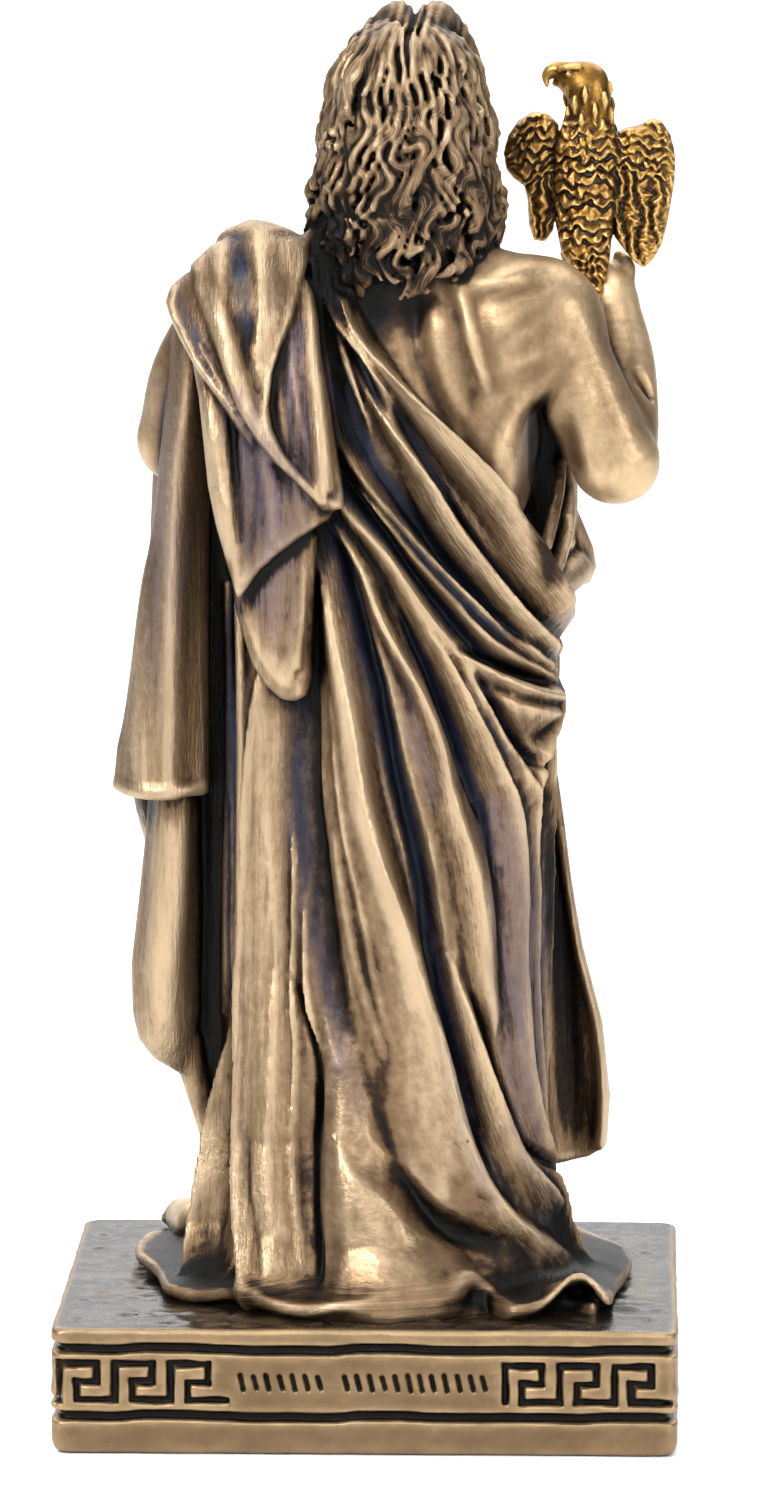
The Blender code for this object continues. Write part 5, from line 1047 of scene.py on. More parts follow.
def mesh_from(name, field, faces):
    """A mesh of the field's surface, in mm, thinned to so many triangles."""
    grid = openvdb.FloatGrid(background=FAR)
    grid.copyFromArray(field.d)
    points, quads = grid.convertToQuads(isovalue=0.0)
    mesh = bpy.data.meshes.new(name)
    points = points * field.step + field.low
    mesh.vertices.add(len(points))
    mesh.vertices.foreach_set("co", points.astype(np.float32).ravel())
    mesh.loops.add(len(quads) * 4)
    mesh.loops.foreach_set("vertex_index", quads[:, ::-1].astype(np.int32).ravel())
    mesh.polygons.add(len(quads))
    mesh.polygons.foreach_set("loop_start", np.arange(0, len(quads) * 4, 4, dtype=np.int32))
    mesh.update(calc_edges=True)
    made = bpy.data.objects.new(name, mesh)
    bpy.context.scene.collection.objects.link(made)
    softened = made.modifiers.new("softened", "SMOOTH")
    softened.iterations, softened.factor = 1, 0.4
    if 2 * len(quads) > faces:
        made.modifiers.new("thinned", "DECIMATE").ratio = faces / (2 * len(quads))
    bpy.context.view_layer.update()
    done = bpy.data.meshes.new_from_object(made.evaluated_get(bpy.context.evaluated_depsgraph_get()))
    made.modifiers.clear()
    made.data = done
    bpy.data.meshes.remove(mesh)
    done.name = name
    for polygon in done.polygons:
        polygon.use_smooth = True
    return made


def points_of(obj):
    co = np.zeros(len(obj.data.vertices) * 3, np.float32)
    obj.data.vertices.foreach_get("co", co)
    return co.reshape(-1, 3)


def put(obj, name, values):
    attribute = obj.data.attributes.new(name, "FLOAT", "POINT")
    attribute.data.foreach_set("value", np.asarray(values, np.float32))


def put_vector(obj, name, values):
    attribute = obj.data.attributes.new(name, "FLOAT_VECTOR", "POINT")
    attribute.data.foreach_set("vector", np.asarray(values, np.float32).ravel())


def put_hollows(obj, field, points, radii):
    """How hollow the surface is at three scales, above 0 in a hollow."""
    for name, radius in zip(("fine", "medium", "broad"), radii):
        put(obj, name, sample(field, blurred_solid(field, radius), points) - 0.5)


def settle(obj, lift):
    """Turns millimetres above the lift into metres in the row frame."""
    obj.data.transform(Matrix.Scale(0.001, 4) @ Matrix.Translation((0, 0, lift)))


def hem_distance(x, y, half, step):
    """Distance to the hem's outline, negative inside."""
    canvas = new_canvas((-half, -18), (half, 18), step)
    canvas.h = canvas.polygon(HEM)
    return canvas.at(x, y)


# Paint on the figure, seen from the back, with painted shade among the dark strokes: strokes of x, height,
# widths to the left and the right, strength
BLUE = [
    [(8.3, 65.8, 0.7, 1), (7.8, 63.2, 0.7, 0.6, 1), (7.3, 60.6, 0.5, 1)],
    [(11.6, 62.4, 0.6, 0.9), (10.9, 60.4, 0.6, 0.9), (9.9, 58.4, 0.5, 0.9), (8.9, 56.6, 0.4, 0.6)],
    [(4.6, 38, 0.9, 0.6), (4.5, 32, 1, 1), (4, 26, 0.9, 1), (3, 20, 0.8, 0.9, 0.9),
     (2, 15, 0.6, 0.8, 0.6), (1.4, 12, 0.4, 0.6, 0.3)],
    [(2, 48, 0.7, 0.7), (0.6, 42, 0.9, 0.8, 1), (-0.9, 36.5, 1, 0.9, 1), (-2, 31.5, 0.9, 0.9),
     (-3.2, 25.5, 0.7, 0.8, 0.8), (-4.6, 18, 0.7, 0.8, 0.7), (-6.2, 10.5, 0.5, 0.6, 0.5)],
    [(-2.4, 41.6, 0.5, 0.7), (-4.2, 37.5, 0.7, 0.8), (-5.8, 33, 0.7, 0.8, 0.9),
     (-7.2, 28.5, 0.6, 0.7, 0.6)],
    [(0.6, 58, 0.5, 0.3), (-3, 52.6, 0.6, 0.6), (-6.4, 47, 0.7, 0.7), (-8.8, 43.6, 0.6, 0.6)],
    [(2.2, 57, 0.5, 0.6), (-0.6, 51.6, 0.7, 0.9), (-3.8, 46.6, 0.8, 0.9), (-8.2, 41.6, 0.7, 0.8)],
    [(2.6, 51.6, 0.6, 0.7), (0, 48.6, 0.7, 0.6, 0.9), (-3.6, 43.9, 0.7, 0.6, 0.8),
     (-7.6, 39.9, 0.6, 0.7)],
    [(-6.6, 38.6, 0.6, 0.6), (-8.2, 35.4, 0.7, 0.7), (-9.6, 33, 0.5, 0.6)],
    [(8.4, 44, 0.6, 0.7, 0.8), (8.4, 34, 0.7, 0.8, 1), (8.4, 24, 0.8, 1), (8.3, 16, 0.6, 0.7, 0.8),
     (8, 8, 0.4, 0.5), (8, 3, 0.4, 0.4)],
    [(-10.4, 30, 0.4, 0.5), (-10.6, 20, 0.4, 0.6), (-10.7, 10, 0.3, 0.4)],
    [(7.4, 53.6, 0.8, 0.7, 0.6), (7, 50, 0.8, 0.6), (7.2, 47, 0.6, 0.5)],
]
GREY = [
    [(4.2, 60.6, 0.6, 0.8), (4.2, 57, 1, 0.9, 0.9), (3.8, 53.4, 1, 0.9, 0.8), (3.2, 51.6, 0.6, 0.5)],
    [(8, 56, 1.2, 1.4, 0.8), (6.4, 52, 2.2, 2.6, 0.95), (5.6, 49, 2.2, 2.4, 0.9),
     (6.6, 47.2, 1.2, 0.7)],
    [(6, 46.2, 1.8, 2, 0.8), (5.8, 43.4, 1.6, 1.8, 0.7), (5.4, 41.2, 1, 1.2, 0.3)],
    [(-7.6, 30, 1, 2.2, 0.8), (-8.7, 25, 1.5, 2.2, 1), (-9.2, 18, 1.6, 2, 1),
     (-9.8, 11, 1.2, 1.4, 0.8), (-11, 6, 0.7, 0.9, 0.5)],
    [(-3.4, 26, 0.6, 0.8), (-4.8, 18, 0.8, 0.9, 0.9), (-6.4, 10.4, 0.7, 0.8, 0.8),
     (-8.4, 5.4, 0.4, 0.5, 0.4)],
    [(2.2, 18, 0.8, 0.9, 0.7), (1.2, 13.6, 0.8, 1, 0.7), (0.4, 11.6, 0.6, 0.8, 0.3)],
    [(12.8, 56, 1, 0.5), (12.2, 50, 1.6, 1.2, 0.75), (12.6, 43, 1.8, 1.4, 0.75),
     (13.2, 38, 1.6, 1.4, 0.4)],
    [(-1.6, 40, 0.6, 0.5), (-3, 35, 0.7, 0.6), (-4.2, 31, 0.6, 0.5)],
    [(2.8, 59.6, 0.4, 0.5, 0.5), (1.8, 56.4, 0.5, 0.6, 0.5), (0, 52.6, 0.4, 0.5, 0.4)],
]
# The dark strokes are black paint in the deep gaps together with painted shade there: the armpit, beside the
# sleeve, under the sheets' and the sleeve's edges, and the gap under the hem's edge on the plinth.
DARK_AND_SHADE = [
    [(9, 46, 0.9, 0.9), (9, 38, 1.1, 0.7, 0.9), (9.3, 30, 1, 0.6, 0.8), (9.6, 20, 0.9, 0.5, 0.6),
     (9.8, 15, 1.4, 0.8, 0.8), (10.2, 11, 1.2, 0.8, 0.8)],
    [(2.5, 49.6, 0.5, 0.9), (2.8, 45.6, 0.5, 0.4, 0.9), (3.1, 41, 0.5, 0.4, 0.9),
     (3.6, 37, 0.7, 0.4, 0.7)],
    [(-10.4, 55.4, 0.7, 0.4, 0.8), (-11, 53, 1.3, 1, 1.9), (-11.3, 50, 1.6, 1.2, 2),
     (-11.4, 47.4, 1.5, 1, 2), (-11.4, 45, 0.9, 0.8, 1.4)],
    [(-11.7, 31, 0.9, 0.6, 1.2), (-12, 24, 1.2, 0.9, 1.8), (-12.5, 16, 1.4, 1.3, 1.8),
     (-12.9, 8, 1.5, 1.4, 1.8)],
    [(-1, 8.2, 0.6, 0.2), (-3.4, 5.8, 1, 0.5), (-6.6, 4.4, 1, 0.5), (-9.6, 3.2, 1, 0.6)],
    [(3, 13, 0.3, 0.8), (3, 8.6, 0.45, 0.9), (3, 3.6, 0.4, 0.8)],
    [(-1.6, 62.6, 3.2, 2.6, 0.9), (1.6, 62.6, 2, 1.8, 0.9), (2, 59.4, 1.2, 0.9, 0.9),
     (1.4, 56.4, 1.2, 0.9, 0.8), (0.6, 53, 1.2, 0.8, 0.6)],
    [(2.2, 58, 0.6, 0.5, 0.8), (1.4, 52.6, 0.8, 0.7, 0.9), (-1, 49.4, 0.8, 0.7, 0.9),
     (-4.4, 45.4, 0.8, 0.8), (-8.6, 41, 0.6, 0.7)],
    [(15, 31.2, 0.9, 1.2, 0.3), (14.8, 30.2, 1, 1.2, 1), (14.2, 28.8, 0.8, 1, 1)],
    [(8.8, 44.6, 0.3, 0.4, 0.3), (7.9, 43.2, 0.4, 0.6, 0.9), (6.8, 45, 0.5, 0.9),
     (5.4, 46.4, 0.5, 0.9), (4, 47.4, 0.5, 0.8), (3, 48.2, 0.4, 0.7)],
    [(-8.4, 38.8, 0.5, 0.5), (-7.6, 36, 0.6, 0.6), (-9.4, 33.4, 0.6, 0.7)],
    [(-11.4, 8, 0.5, 0.5), (-12.2, 4.4, 1, 0.8), (-13.6, 1.8, 1.2, 1.4, 0.8)],
    [(12.6, 9.6, 0.9, 0.1), (11, 3.4, 1.4, 0.8), (11.6, 1, 1.6, 0.9)],
    [(2.4, 66.4, 1.2, 1.2), (2.8, 63.6, 1, 1.2, 1.3), (2.4, 60, 0.6, 0.9, 1.2),
     (1.6, 55.4, 0.4, 0.8, 0.9)],
    [(15, 0.5, 0.7, 1), (9, 0.4, 0.8, 0.8), (2, 0.4, 0.7, 0.6), (-4, 0.4, 0.7, 0.7),
     (-9, 0.5, 0.9, 0.9), (-13, 0.6, 1.1, 1), (-17, 0.8, 1.3, 1.1)],
]
GOLD = [
    [(10.2, 62.5, 0.9, 0.9), (9.2, 60.2, 1, 1.2, 1), (8.2, 57.6, 1, 1.3, 1), (7, 55.2, 0.9, 1, 1),
     (5.2, 52.8, 0.8, 0.7, 0.9), (3.2, 50.8, 0.8, 0.7, 1)],
    [(5.8, 65.6, 1.4, 1.2, 0.9), (5.6, 62.6, 1.2, 1, 1), (6, 60.2, 0.9, 0.8, 0.9),
     (6.5, 57.8, 0.7, 0.5, 0.8)],
    [(2.9, 57.5, 0.7, 0.4, 0.7), (2.6, 54.5, 0.9, 0.5, 0.9), (2.2, 51.6, 1.2, 0.6, 1)],
    [(10.2, 56, 0.8, 0.5, 0.7), (9.8, 53, 1.1, 0.6, 0.9), (9.2, 50, 1.2, 0.7, 0.9),
     (8.5, 47, 1, 0.7, 0.9)],
    [(6.4, 41.4, 1, 1.6, 0.5), (5.4, 39.4, 1.6, 1)],
    [(-0.8, 59, 0.6, 0.8, 0.8), (-4, 54, 1.1, 1), (-7, 49.6, 1.4, 1.3, 1), (-9.6, 45.8, 1.7, 1.5, 1)],
    [(-1, 47, 0.5, 0.6), (-3.4, 42.9, 0.6, 0.8), (-6, 39.8, 0.7, 0.6, 0.8),
     (-9.4, 37.6, 0.7, 0.6, 0.9)],
    [(1.6, 42, 1.1, 0.5, 0.8), (0.9, 36, 1.5, 0.6, 0.9), (0.2, 30.4, 1.7, 0.8, 1),
     (-1.2, 25.5, 2, 0.8, 1), (-3, 17.7, 1.7, 1, 1), (-3.4, 12.6, 2.2, 1.6, 1),
     (-4.4, 9, 2.6, 1.8, 1)],
    [(6.1, 36, 0.7, 1, 0.8), (6.2, 26, 0.8, 1.3, 1), (6, 18, 1, 1.8, 1), (5.8, 10, 1.2, 2.4, 1),
     (5.7, 2.4, 1.5, 2.6, 0.9)],
    [(1, 10.4, 1.8, 1.6, 0.9), (0, 6, 2.6, 1), (-1.4, 2.8, 3.4, 1)],
    [(8.9, 12, 0.8, 0.6, 0.7), (9.2, 7, 1.1, 0.8, 0.9), (9.6, 3, 1.3, 0.8, 0.9)],
    [(13.4, 44, 1.6, 1.4, 0.3), (13.2, 38, 2, 1.8, 0.8), (13.2, 33, 2.6, 2, 1)],
    [(12.6, 29, 1.4, 1.2, 0.7), (12.8, 20, 1.6, 1.5, 0.9), (12.9, 15.6, 1.3, 1.2, 0.7)],
    [(-5, 31.4, 0.6, 0.8, 0.8), (-6.2, 25, 0.7, 1, 0.9), (-7, 19.6, 0.6, 0.8, 0.6)],
    [(-12.9, 49, 0.7, 0.6, 0.8), (-13.2, 46.4, 1, 0.9, 1), (-13, 44, 0.9, 0.8, 1)],
    [(-5.6, 1.7, 0.4, 0.6), (-6.8, 2, 0.5, 0.9), (-7.6, 1.6, 0.4, 0.5)],
    [(-11.6, 1.5, 0.4, 0.6), (-13.2, 2.2, 0.5, 1), (-14.6, 1.9, 0.4, 0.6)],
]


def paint_map(strokes):
    """The strongest of the strokes at every place."""
    canvas = new_canvas((-19, -2), (18, 82), PAINT_STEP)
    for stroke in strokes:
        layer = Canvas((canvas.a, canvas.b), PAINT_STEP)
        layer.ridge(stroke, 0.6)
        canvas.h = np.maximum(canvas.h, layer.h)
    return canvas


def nearest_share(own, *others):
    """1 where a part's own surface is the nearest, falling to 0 over a short way."""
    return np.clip((np.minimum(*others) - own) / 0.3 + 0.5, 0, 1)


def grain_of(points, locks):
    """Coordinates for the paint's streaks: along the folds on the back, along the locks in the hair."""
    x, y, z = points.T
    lines = np.array([np.interp(z, *np.array(line).T) for _, line in GRAIN])
    labels = [label for label, _ in GRAIN]
    flow = x.copy()
    for high, low, label, next_label in zip(lines, lines[1:], labels, labels[1:]):
        t = np.clip((x - low) / np.maximum(high - low, 0.15), 0, 1)
        flow = np.where((x <= high) & (x >= low), next_label + t * (label - next_label), flow)
    back = np.clip(y / 2.0 - 1.0, 0, 1)
    spread = np.clip(z / 2.0, 0.2, 1.0)
    folds = np.stack([(flow * back + x * (1 - back)) * spread, y * (1 - 0.9 * back) * spread, z], 1)
    combed = np.stack([1.35 * hair_flow(x, y, z), 0 * y, 1.9 * z], 1)
    return folds * (1 - locks[:, None]) + combed * locks[:, None]


def figure_piece():
    cloth = carve_cloth()
    skin, hair = cloth.copy_empty(), cloth.copy_empty()
    carve_skin(skin)
    carve_hair(hair)
    whole = cloth.copy_empty()
    floor_cut = (-0.25 - cloth.axes[2])[None, None, :]
    whole.d = smooth_min(smooth_min(cloth.d, skin.d, 0.25), hair.d, 0.2)
    whole.d = np.maximum(whole.d, floor_cut).astype(np.float32)
    made = mesh_from("figure", whole, FIGURE_FACES)
    points = points_of(made)
    put_hollows(made, whole, points, (0.34, 0.85, 2.0))
    c, s, h = [sample(whole, part.d, points) for part in (cloth, skin, hair)]
    locks, bare = nearest_share(h, s, c), nearest_share(s, c, h)
    put(made, "cloth", nearest_share(c, s, h))
    put(made, "hair", locks)

    x, y, z = points.T
    paint = {}
    paints = (("blue", BLUE, 1.0), ("grey", GREY, 1.0), ("dark", DARK_AND_SHADE, 6.0), ("gold", GOLD, 1.0))
    for name, strokes, behind in paints:
        paint[name] = paint_map(strokes).at(x, z) * rise(y, -behind, 2.0)
    put(made, "blue", paint["blue"])
    put(made, "grey", paint["grey"])
    rim = bell(hem_distance(x, y, 20, PAINT_STEP), 0.25)
    hem = fall(z, 2.0, 0.8) * np.clip(np.abs(x + 1.0) / 9.0, 0.35, 1) * (1 - 0.55 * rim)
    skirt = fall(z, 44.0, 6.0) * rise(z, 2.0, 2.0) * rise(x, -10.8, 1.0)
    worn = np.maximum(paint["gold"], 0.5 * fall(y, 1.0, 3.0))
    # The dark strokes add painted shade to this tone, along with the black paint of the gaps. The other terms
    # set the tone of the hem, the skirt, the worn ridges and the bare skin, and make the lower hair darker.
    tone_and_shade = 0.40 * hem - 0.07 * skirt + 0.42 * paint["dark"] - 0.20 * worn - 0.14 * bare
    put(made, "tone_and_shade", tone_and_shade + 0.25 * fall(z, 75.0, 8.0) * locks)
    put(made, "calm", np.maximum(rise(z, 46.5, 2.0) * rise(x, 1.2, 1.0), bare))
    put_vector(made, "grain", grain_of(points, locks))
    settle(made, FIGURE_BASE)
    return made


# The eagle is carved about its own origin; outlines in x, z
EAGLE_AT = (-13.7, -4.6, 62.8)
LEFT_WING = [
    (2.2, 9.4), (2.9, 10.1), (3.7, 10.2), (4.7, 9.6), (5.3, 8.7), (5.6, 7.6), (5.4, 6.6), (4.9, 6),
    (4.3, 5.6), (4.1, 4.8), (4, 3.2), (3.7, 2.2), (3, 2.1), (2.5, 2.8), (2.2, 5)
]
RIGHT_WING = [
    (-1.3, 8.8), (-2, 9.2), (-2.9, 9.4), (-3.6, 9.8), (-4.2, 9.7), (-4.8, 8.8), (-5.1, 7.6),
    (-5.1, 6.2), (-4.9, 4.8), (-4.6, 3.2), (-4.3, 2), (-3.8, 1.1), (-3.2, 0.5), (-2.6, 0.9),
    (-2, 1.6), (-1.4, 2.4), (-1.2, 4.6)
]
BODY = [
    (1.9, 9.6), (0.4, 9.9), (-1.3, 9.4), (-1.7, 8), (-1.5, 6), (-1.3, 3.8), (-1.1, 1.4),
    (-0.8, -0.4), (-0.4, -1.5), (0.1, -1.6), (0.7, -0.8), (1.3, 0.4), (2, 1.6), (2.4, 3.6),
    (2.5, 6), (2.4, 8.2)
]
CHEST = [(1.7, 9.2), (-1.2, 9.2), (-1.6, 6.0), (-1.1, 3.0), (0.3, 1.8), (1.6, 3.0), (2.2, 6.0)]
# How far the back stands out by height
EAGLE_SPINE = [(-2, 2.7), (0, 2.5), (2.0, 2.2), (5, 1.95), (8, 1.9), (10, 1.5)]


def scales(x, z, wide, high, depth, slant=0.0):
    """Overlapping rounded feathers in rows, their tips down, no two of the same length and depth."""
    z = z + slant * x
    row = np.floor(z / high)
    column = np.floor(x / wide + 0.5 * np.mod(row, 2))
    chance = np.mod(np.sin(12.9898 * column + 78.233 * row) * 43758.5453, 1.0)
    p = np.mod(x / wide + 0.5 * np.mod(row, 2), 1.0) - 0.5
    q = np.mod(z / high, 1.0)
    tip = 0.38 * (2 * p) ** 2 + 0.3 * (chance - 0.5)
    up = rise(q, tip, 0.16)
    return depth * (0.55 + 0.9 * chance) * (up * (1.0 - 0.75 * q + 0.25 * bell(p, 0.07)) - 0.3)


def quills(x, wide, depth):
    """Long feathers side by side, each with a shaft."""
    p = np.mod(x / wide, 1.0) - 0.5
    return depth * (np.sqrt(np.clip(1 - (2 * p) ** 2, 0, 1)) - 0.6 + 0.25 * bell(p, 0.08))


def uneven(x, z, seed):
    """The same place pushed about a little, so that no two feathers are alike."""
    wave = np.sin(2.3 * x + 1.7 * z + seed) + np.sin(1.9 * z - 3.1 * x + 2.0 * seed)
    other = np.sin(2.9 * x + seed + 1.3 * z) + 0.7 * np.sin(4.7 * x - 2.2 * z + 2.0 * seed)
    new_x = x + 0.13 * wave + 0.07 * np.sin(7.3 * z + seed)
    return new_x, z + 0.15 * other + 0.07 * np.sin(8.0 * x + 3.0 * z)


def left_feathers(x, z, edge):
    x, z = uneven(x, z, 0.7)
    upper = np.clip((z - 5.9 + 0.25 * (x - 3.5)) / 0.3, 0, 1)
    ragged = 0.06 * np.sin(9 * x + 5 * z) * np.sin(7 * z)
    long = quills(x + 0.05 * z, 0.62, 0.34)
    return upper * scales(x, z, 0.8, 0.62, 0.40, 0.25) + (1 - upper) * long + ragged


def right_feathers(x, z, edge):
    x, z = uneven(x, z, 2.1)
    upper = np.clip((z - 6.0 - 0.35 * (x + 3.2)) / 0.3, 0, 1)
    fan = x + 0.09 * (z - 9.0) * (x + 2.0) * 0.5
    ragged = 0.06 * np.sin(8 * x + 6 * z) * np.sin(6 * z)
    barbs = 0.05 * np.sin((z + 0.8 * np.abs(np.mod(fan / 0.66, 1.0) - 0.5)) * 18)
    long = quills(fan, 0.66, 0.4) + barbs
    return upper * scales(x, z, 0.74, 0.62, 0.40, -0.2) + (1 - upper) * long + ragged


def body_feathers(x, z, edge):
    x, z = uneven(x, z, 4.0)
    ragged = 0.08 * np.sin(7 * x + 4 * z) * np.sin(6 * z + 1)
    lower = fall(z, 1.6, 0.5)
    long = quills(x, 0.5, 0.3) + 0.12 * np.sin(11 * z)
    return (1 - lower) * scales(x, z, 0.95, 0.72, 0.5) + lower * long + ragged


def add_eagle_head(field):
    field.tube([(0.3, 0.1, 8.2, 1.7), (0.2, 0.2, 10.2, 1.4), (0.4, 0.2, 11.6, 1.35)], 0.4)
    field.ball((0.7, 0.2, 12.2), (1.6, 1.1, 1.2), 0.3)
    beak = [(1.8, 0.2, 12.75, 0.62), (2.5, 0.2, 12.8, 0.5), (2.95, 0.2, 12.4, 0.3), (2.9, 0.2, 11.85, 0.12)]
    field.tube(beak, 0.25)
    field.tube([(1.6, 0.2, 12.0, 0.3), (2.4, 0.2, 12.0, 0.2)], 0.2)
    for y in (-0.75, 1.15):
        brow = [(0.9, y, 13.1, 0.2), (1.6, y * 0.9, 13.05, 0.22), (2.1, y * 0.7 + 0.05, 12.9, 0.16)]
        field.tube(brow, 0.12)
        field.ball((1.55, y * 0.92, 12.62), (0.22, 0.18, 0.2), 0.06)
    count = 26
    for k in range(count):
        turn, high = 2.4 * k, 8.6 + 3.4 * k / count
        radius = np.interp(high, [8.6, 10.2, 11.9], [1.65, 1.42, 1.4])
        middle = np.interp(high, [8.2, 10.2, 11.9], [0.3, 0.2, 0.4])
        x, y = middle + radius * math.sin(turn), 0.2 + radius * math.cos(turn)
        feather = [(x, y, high + 0.5, 0.12), (x, y, high, 0.24), (x, y, high - 0.5, 0.1)]
        field.tube(feather, 0.06, smooth=False)


def add_wing(field, outline, middle, back, front, bow, thick, feathers):
    """A wing as two bowed sheets, one with its feathers to the back and one to the front."""
    field.sheet("xz", outline, lambda x, z: back - bow * (x - middle) ** 2, thick, 0.35, (), 0.15, feathers)
    inner = lambda x, z: front + 0.10 * (x - middle) ** 2
    field.sheet("xz", outline, inner, 0.9, 0.35, (), 0.15, feathers, -1.0)


def eagle_piece():
    field = new_field((-6.4, -3.4, -2.6), (6.6, 4.0, 14.8), EAGLE_STEP)
    field.ball((0.3, 0.0, 6.0), (1.85, 1.7, 4.0), 0.3)
    add_eagle_head(field)
    add_wing(field, LEFT_WING, 3.4, 0.75, -0.75, 0.10, 1.5, left_feathers)
    add_wing(field, RIGHT_WING, -2.9, 1.3, -0.3, 0.12, 1.6, right_feathers)
    heights, places = np.array(EAGLE_SPINE).T
    back = lambda x, z: np.interp(z, heights, places) - 0.20 * (x - 0.35) ** 2
    chest = lambda x, z: -1.75 + 0.28 * (x - 0.3) ** 2 + 0.02 * (z - 6) ** 2
    field.sheet("xz", BODY, back, 1.3, 0.4, (), 0.2, body_feathers)
    field.sheet("xz", CHEST, chest, 1.3, 0.4, (), 0.2, body_feathers, -1.0)
    for way in (-1.0, 1.0):
        x = 0.3 + 0.8 * way
        field.tube([(x, -0.1, 3.4, 0.9), (x, -0.3, 1.8, 0.6), (x, -0.5, 1.0, 0.4)], 0.3)
        for k in (-1, 0, 1):
            toe = [(x, -0.5, 1.0, 0.3), (x + 0.35 * k, -1.3, 0.8, 0.26), (x + 0.45 * k, -1.6, 0.2, 0.14)]
            field.tube(toe, 0.1)
    made = mesh_from("eagle_gilded", field, EAGLE_FACES)
    points = points_of(made)
    put_hollows(made, field, points, (0.2, 0.5, 1.2))
    # Darker towards the left wing's tip: its darker paint there together with painted shade on that side.
    put(made, "wing_dark_and_shade", rise(points[:, 0], 3.2, 2.2))
    made.data.transform(Matrix.Translation(EAGLE_AT))
    settle(made, FIGURE_BASE)
    return made


HALF_X, HALF_Y, TOP = 19.25, 17.0, 7.9
FRET_LINE, FRET_PERIOD = 0.46, 3.6
FRET_LOW, FRET_HIGH, FRET_INSET = 3.45, 5.7, 0.55
GROOVE_HEIGHTS, GROOVE_HALF, GROOVE_DEPTH = (2.45, 6.65), 0.34, 0.45
FRET_DEPTH, MARK_DEPTH, MARK_HALF = 0.42, 0.24, 0.20
# The plain panel behind, between two x, and its two groups of marks: first x, last x, spacing
PANEL = (-8.5, 8.3)
PANEL_GAP = 0.15
MARK_GROUPS = ((7.5, 2.3, 0.78), (1.1, -7.4, 0.74))
MARK_MIDDLE, MARK_LEAN = 4.6, 0.10


def fret_points(start, length):
    """The corners of a Greek key's single line along a face."""
    count = round(length / FRET_PERIOD)
    period = length / count
    middle = (FRET_LOW + FRET_HIGH) / 2
    points = [(start, FRET_LOW)]
    for k in range(count):
        at = start + k * period
        inner, outer = at + 0.31 * period, at + 0.67 * period
        points += [(at, FRET_HIGH), (outer, FRET_HIGH), (outer, middle), (inner, middle), (inner, FRET_LOW)]
        points += [(at + period, FRET_LOW)]
    return points


def fret_mirror(run):
    """A run of the key as it reads from behind, where the face's x grows to the left."""
    ends = min(x for x, _ in run) + max(x for x, _ in run)
    return [(ends - x, z) for x, z in run]


def panel_marks():
    """Short slanting strokes, of uneven height and spacing, that stand for writing."""
    rng = np.random.default_rng(23)
    marks = []
    for x, end, step in MARK_GROUPS:
        while x > end:
            tall = rng.uniform(0.34, 0.50)
            marks.append((x - MARK_LEAN, MARK_MIDDLE - tall, x + MARK_LEAN, MARK_MIDDLE + tall))
            x -= step * rng.uniform(0.95, 1.1)
    return marks


def groove_map(half, runs, marks=()):
    """Relief of one side of the plinth: grooves, the key and the marks, as depth below the face."""
    canvas = new_canvas((-half - 0.5, -0.5), (half + 0.5, TOP + 0.5), PLINTH_STEP / 2)
    A, B = canvas.a[:, None], canvas.b[None, :]
    wobble = 0.09 * value_noise(canvas.shape, (2.2 / canvas.step, 9e9), 41 + int(half))
    for middle in GROOVE_HEIGHTS:
        away = np.abs(B - middle - wobble)
        canvas.h -= GROOVE_DEPTH * fall(away, GROOVE_HALF + 0.05 * np.abs(wobble), 0.12)
    keys = np.full(canvas.shape, 9.0, np.float32)
    for points in runs:
        for p, q in zip(points, points[1:]):
            (a0, a1), (b0, b1) = [sorted(ends) for ends in zip(p, q)]
            keys = np.minimum(keys, np.maximum(np.maximum(a0 - A, A - a1), np.maximum(b0 - B, B - b1)))
    keys = keys + 0.07 * value_noise(canvas.shape, (0.9 / canvas.step, 0.9 / canvas.step), 43)
    canvas.h -= FRET_DEPTH * fall(keys, FRET_LINE / 2 + 0.03, 0.11)
    for x0, z0, x1, z1 in marks:
        t = np.clip(((A - x0) * (x1 - x0) + (B - z0) * (z1 - z0)) / ((x1 - x0) ** 2 + (z1 - z0) ** 2), 0, 1)
        away = np.hypot(A - x0 - t * (x1 - x0), B - z0 - t * (z1 - z0))
        canvas.h -= MARK_DEPTH * fall(away, MARK_HALF, 0.12)
    canvas.roughen(0.035, 1.1, 0.5, 44)
    canvas.roughen(0.05, 3.4, 1.4, 45)
    return canvas


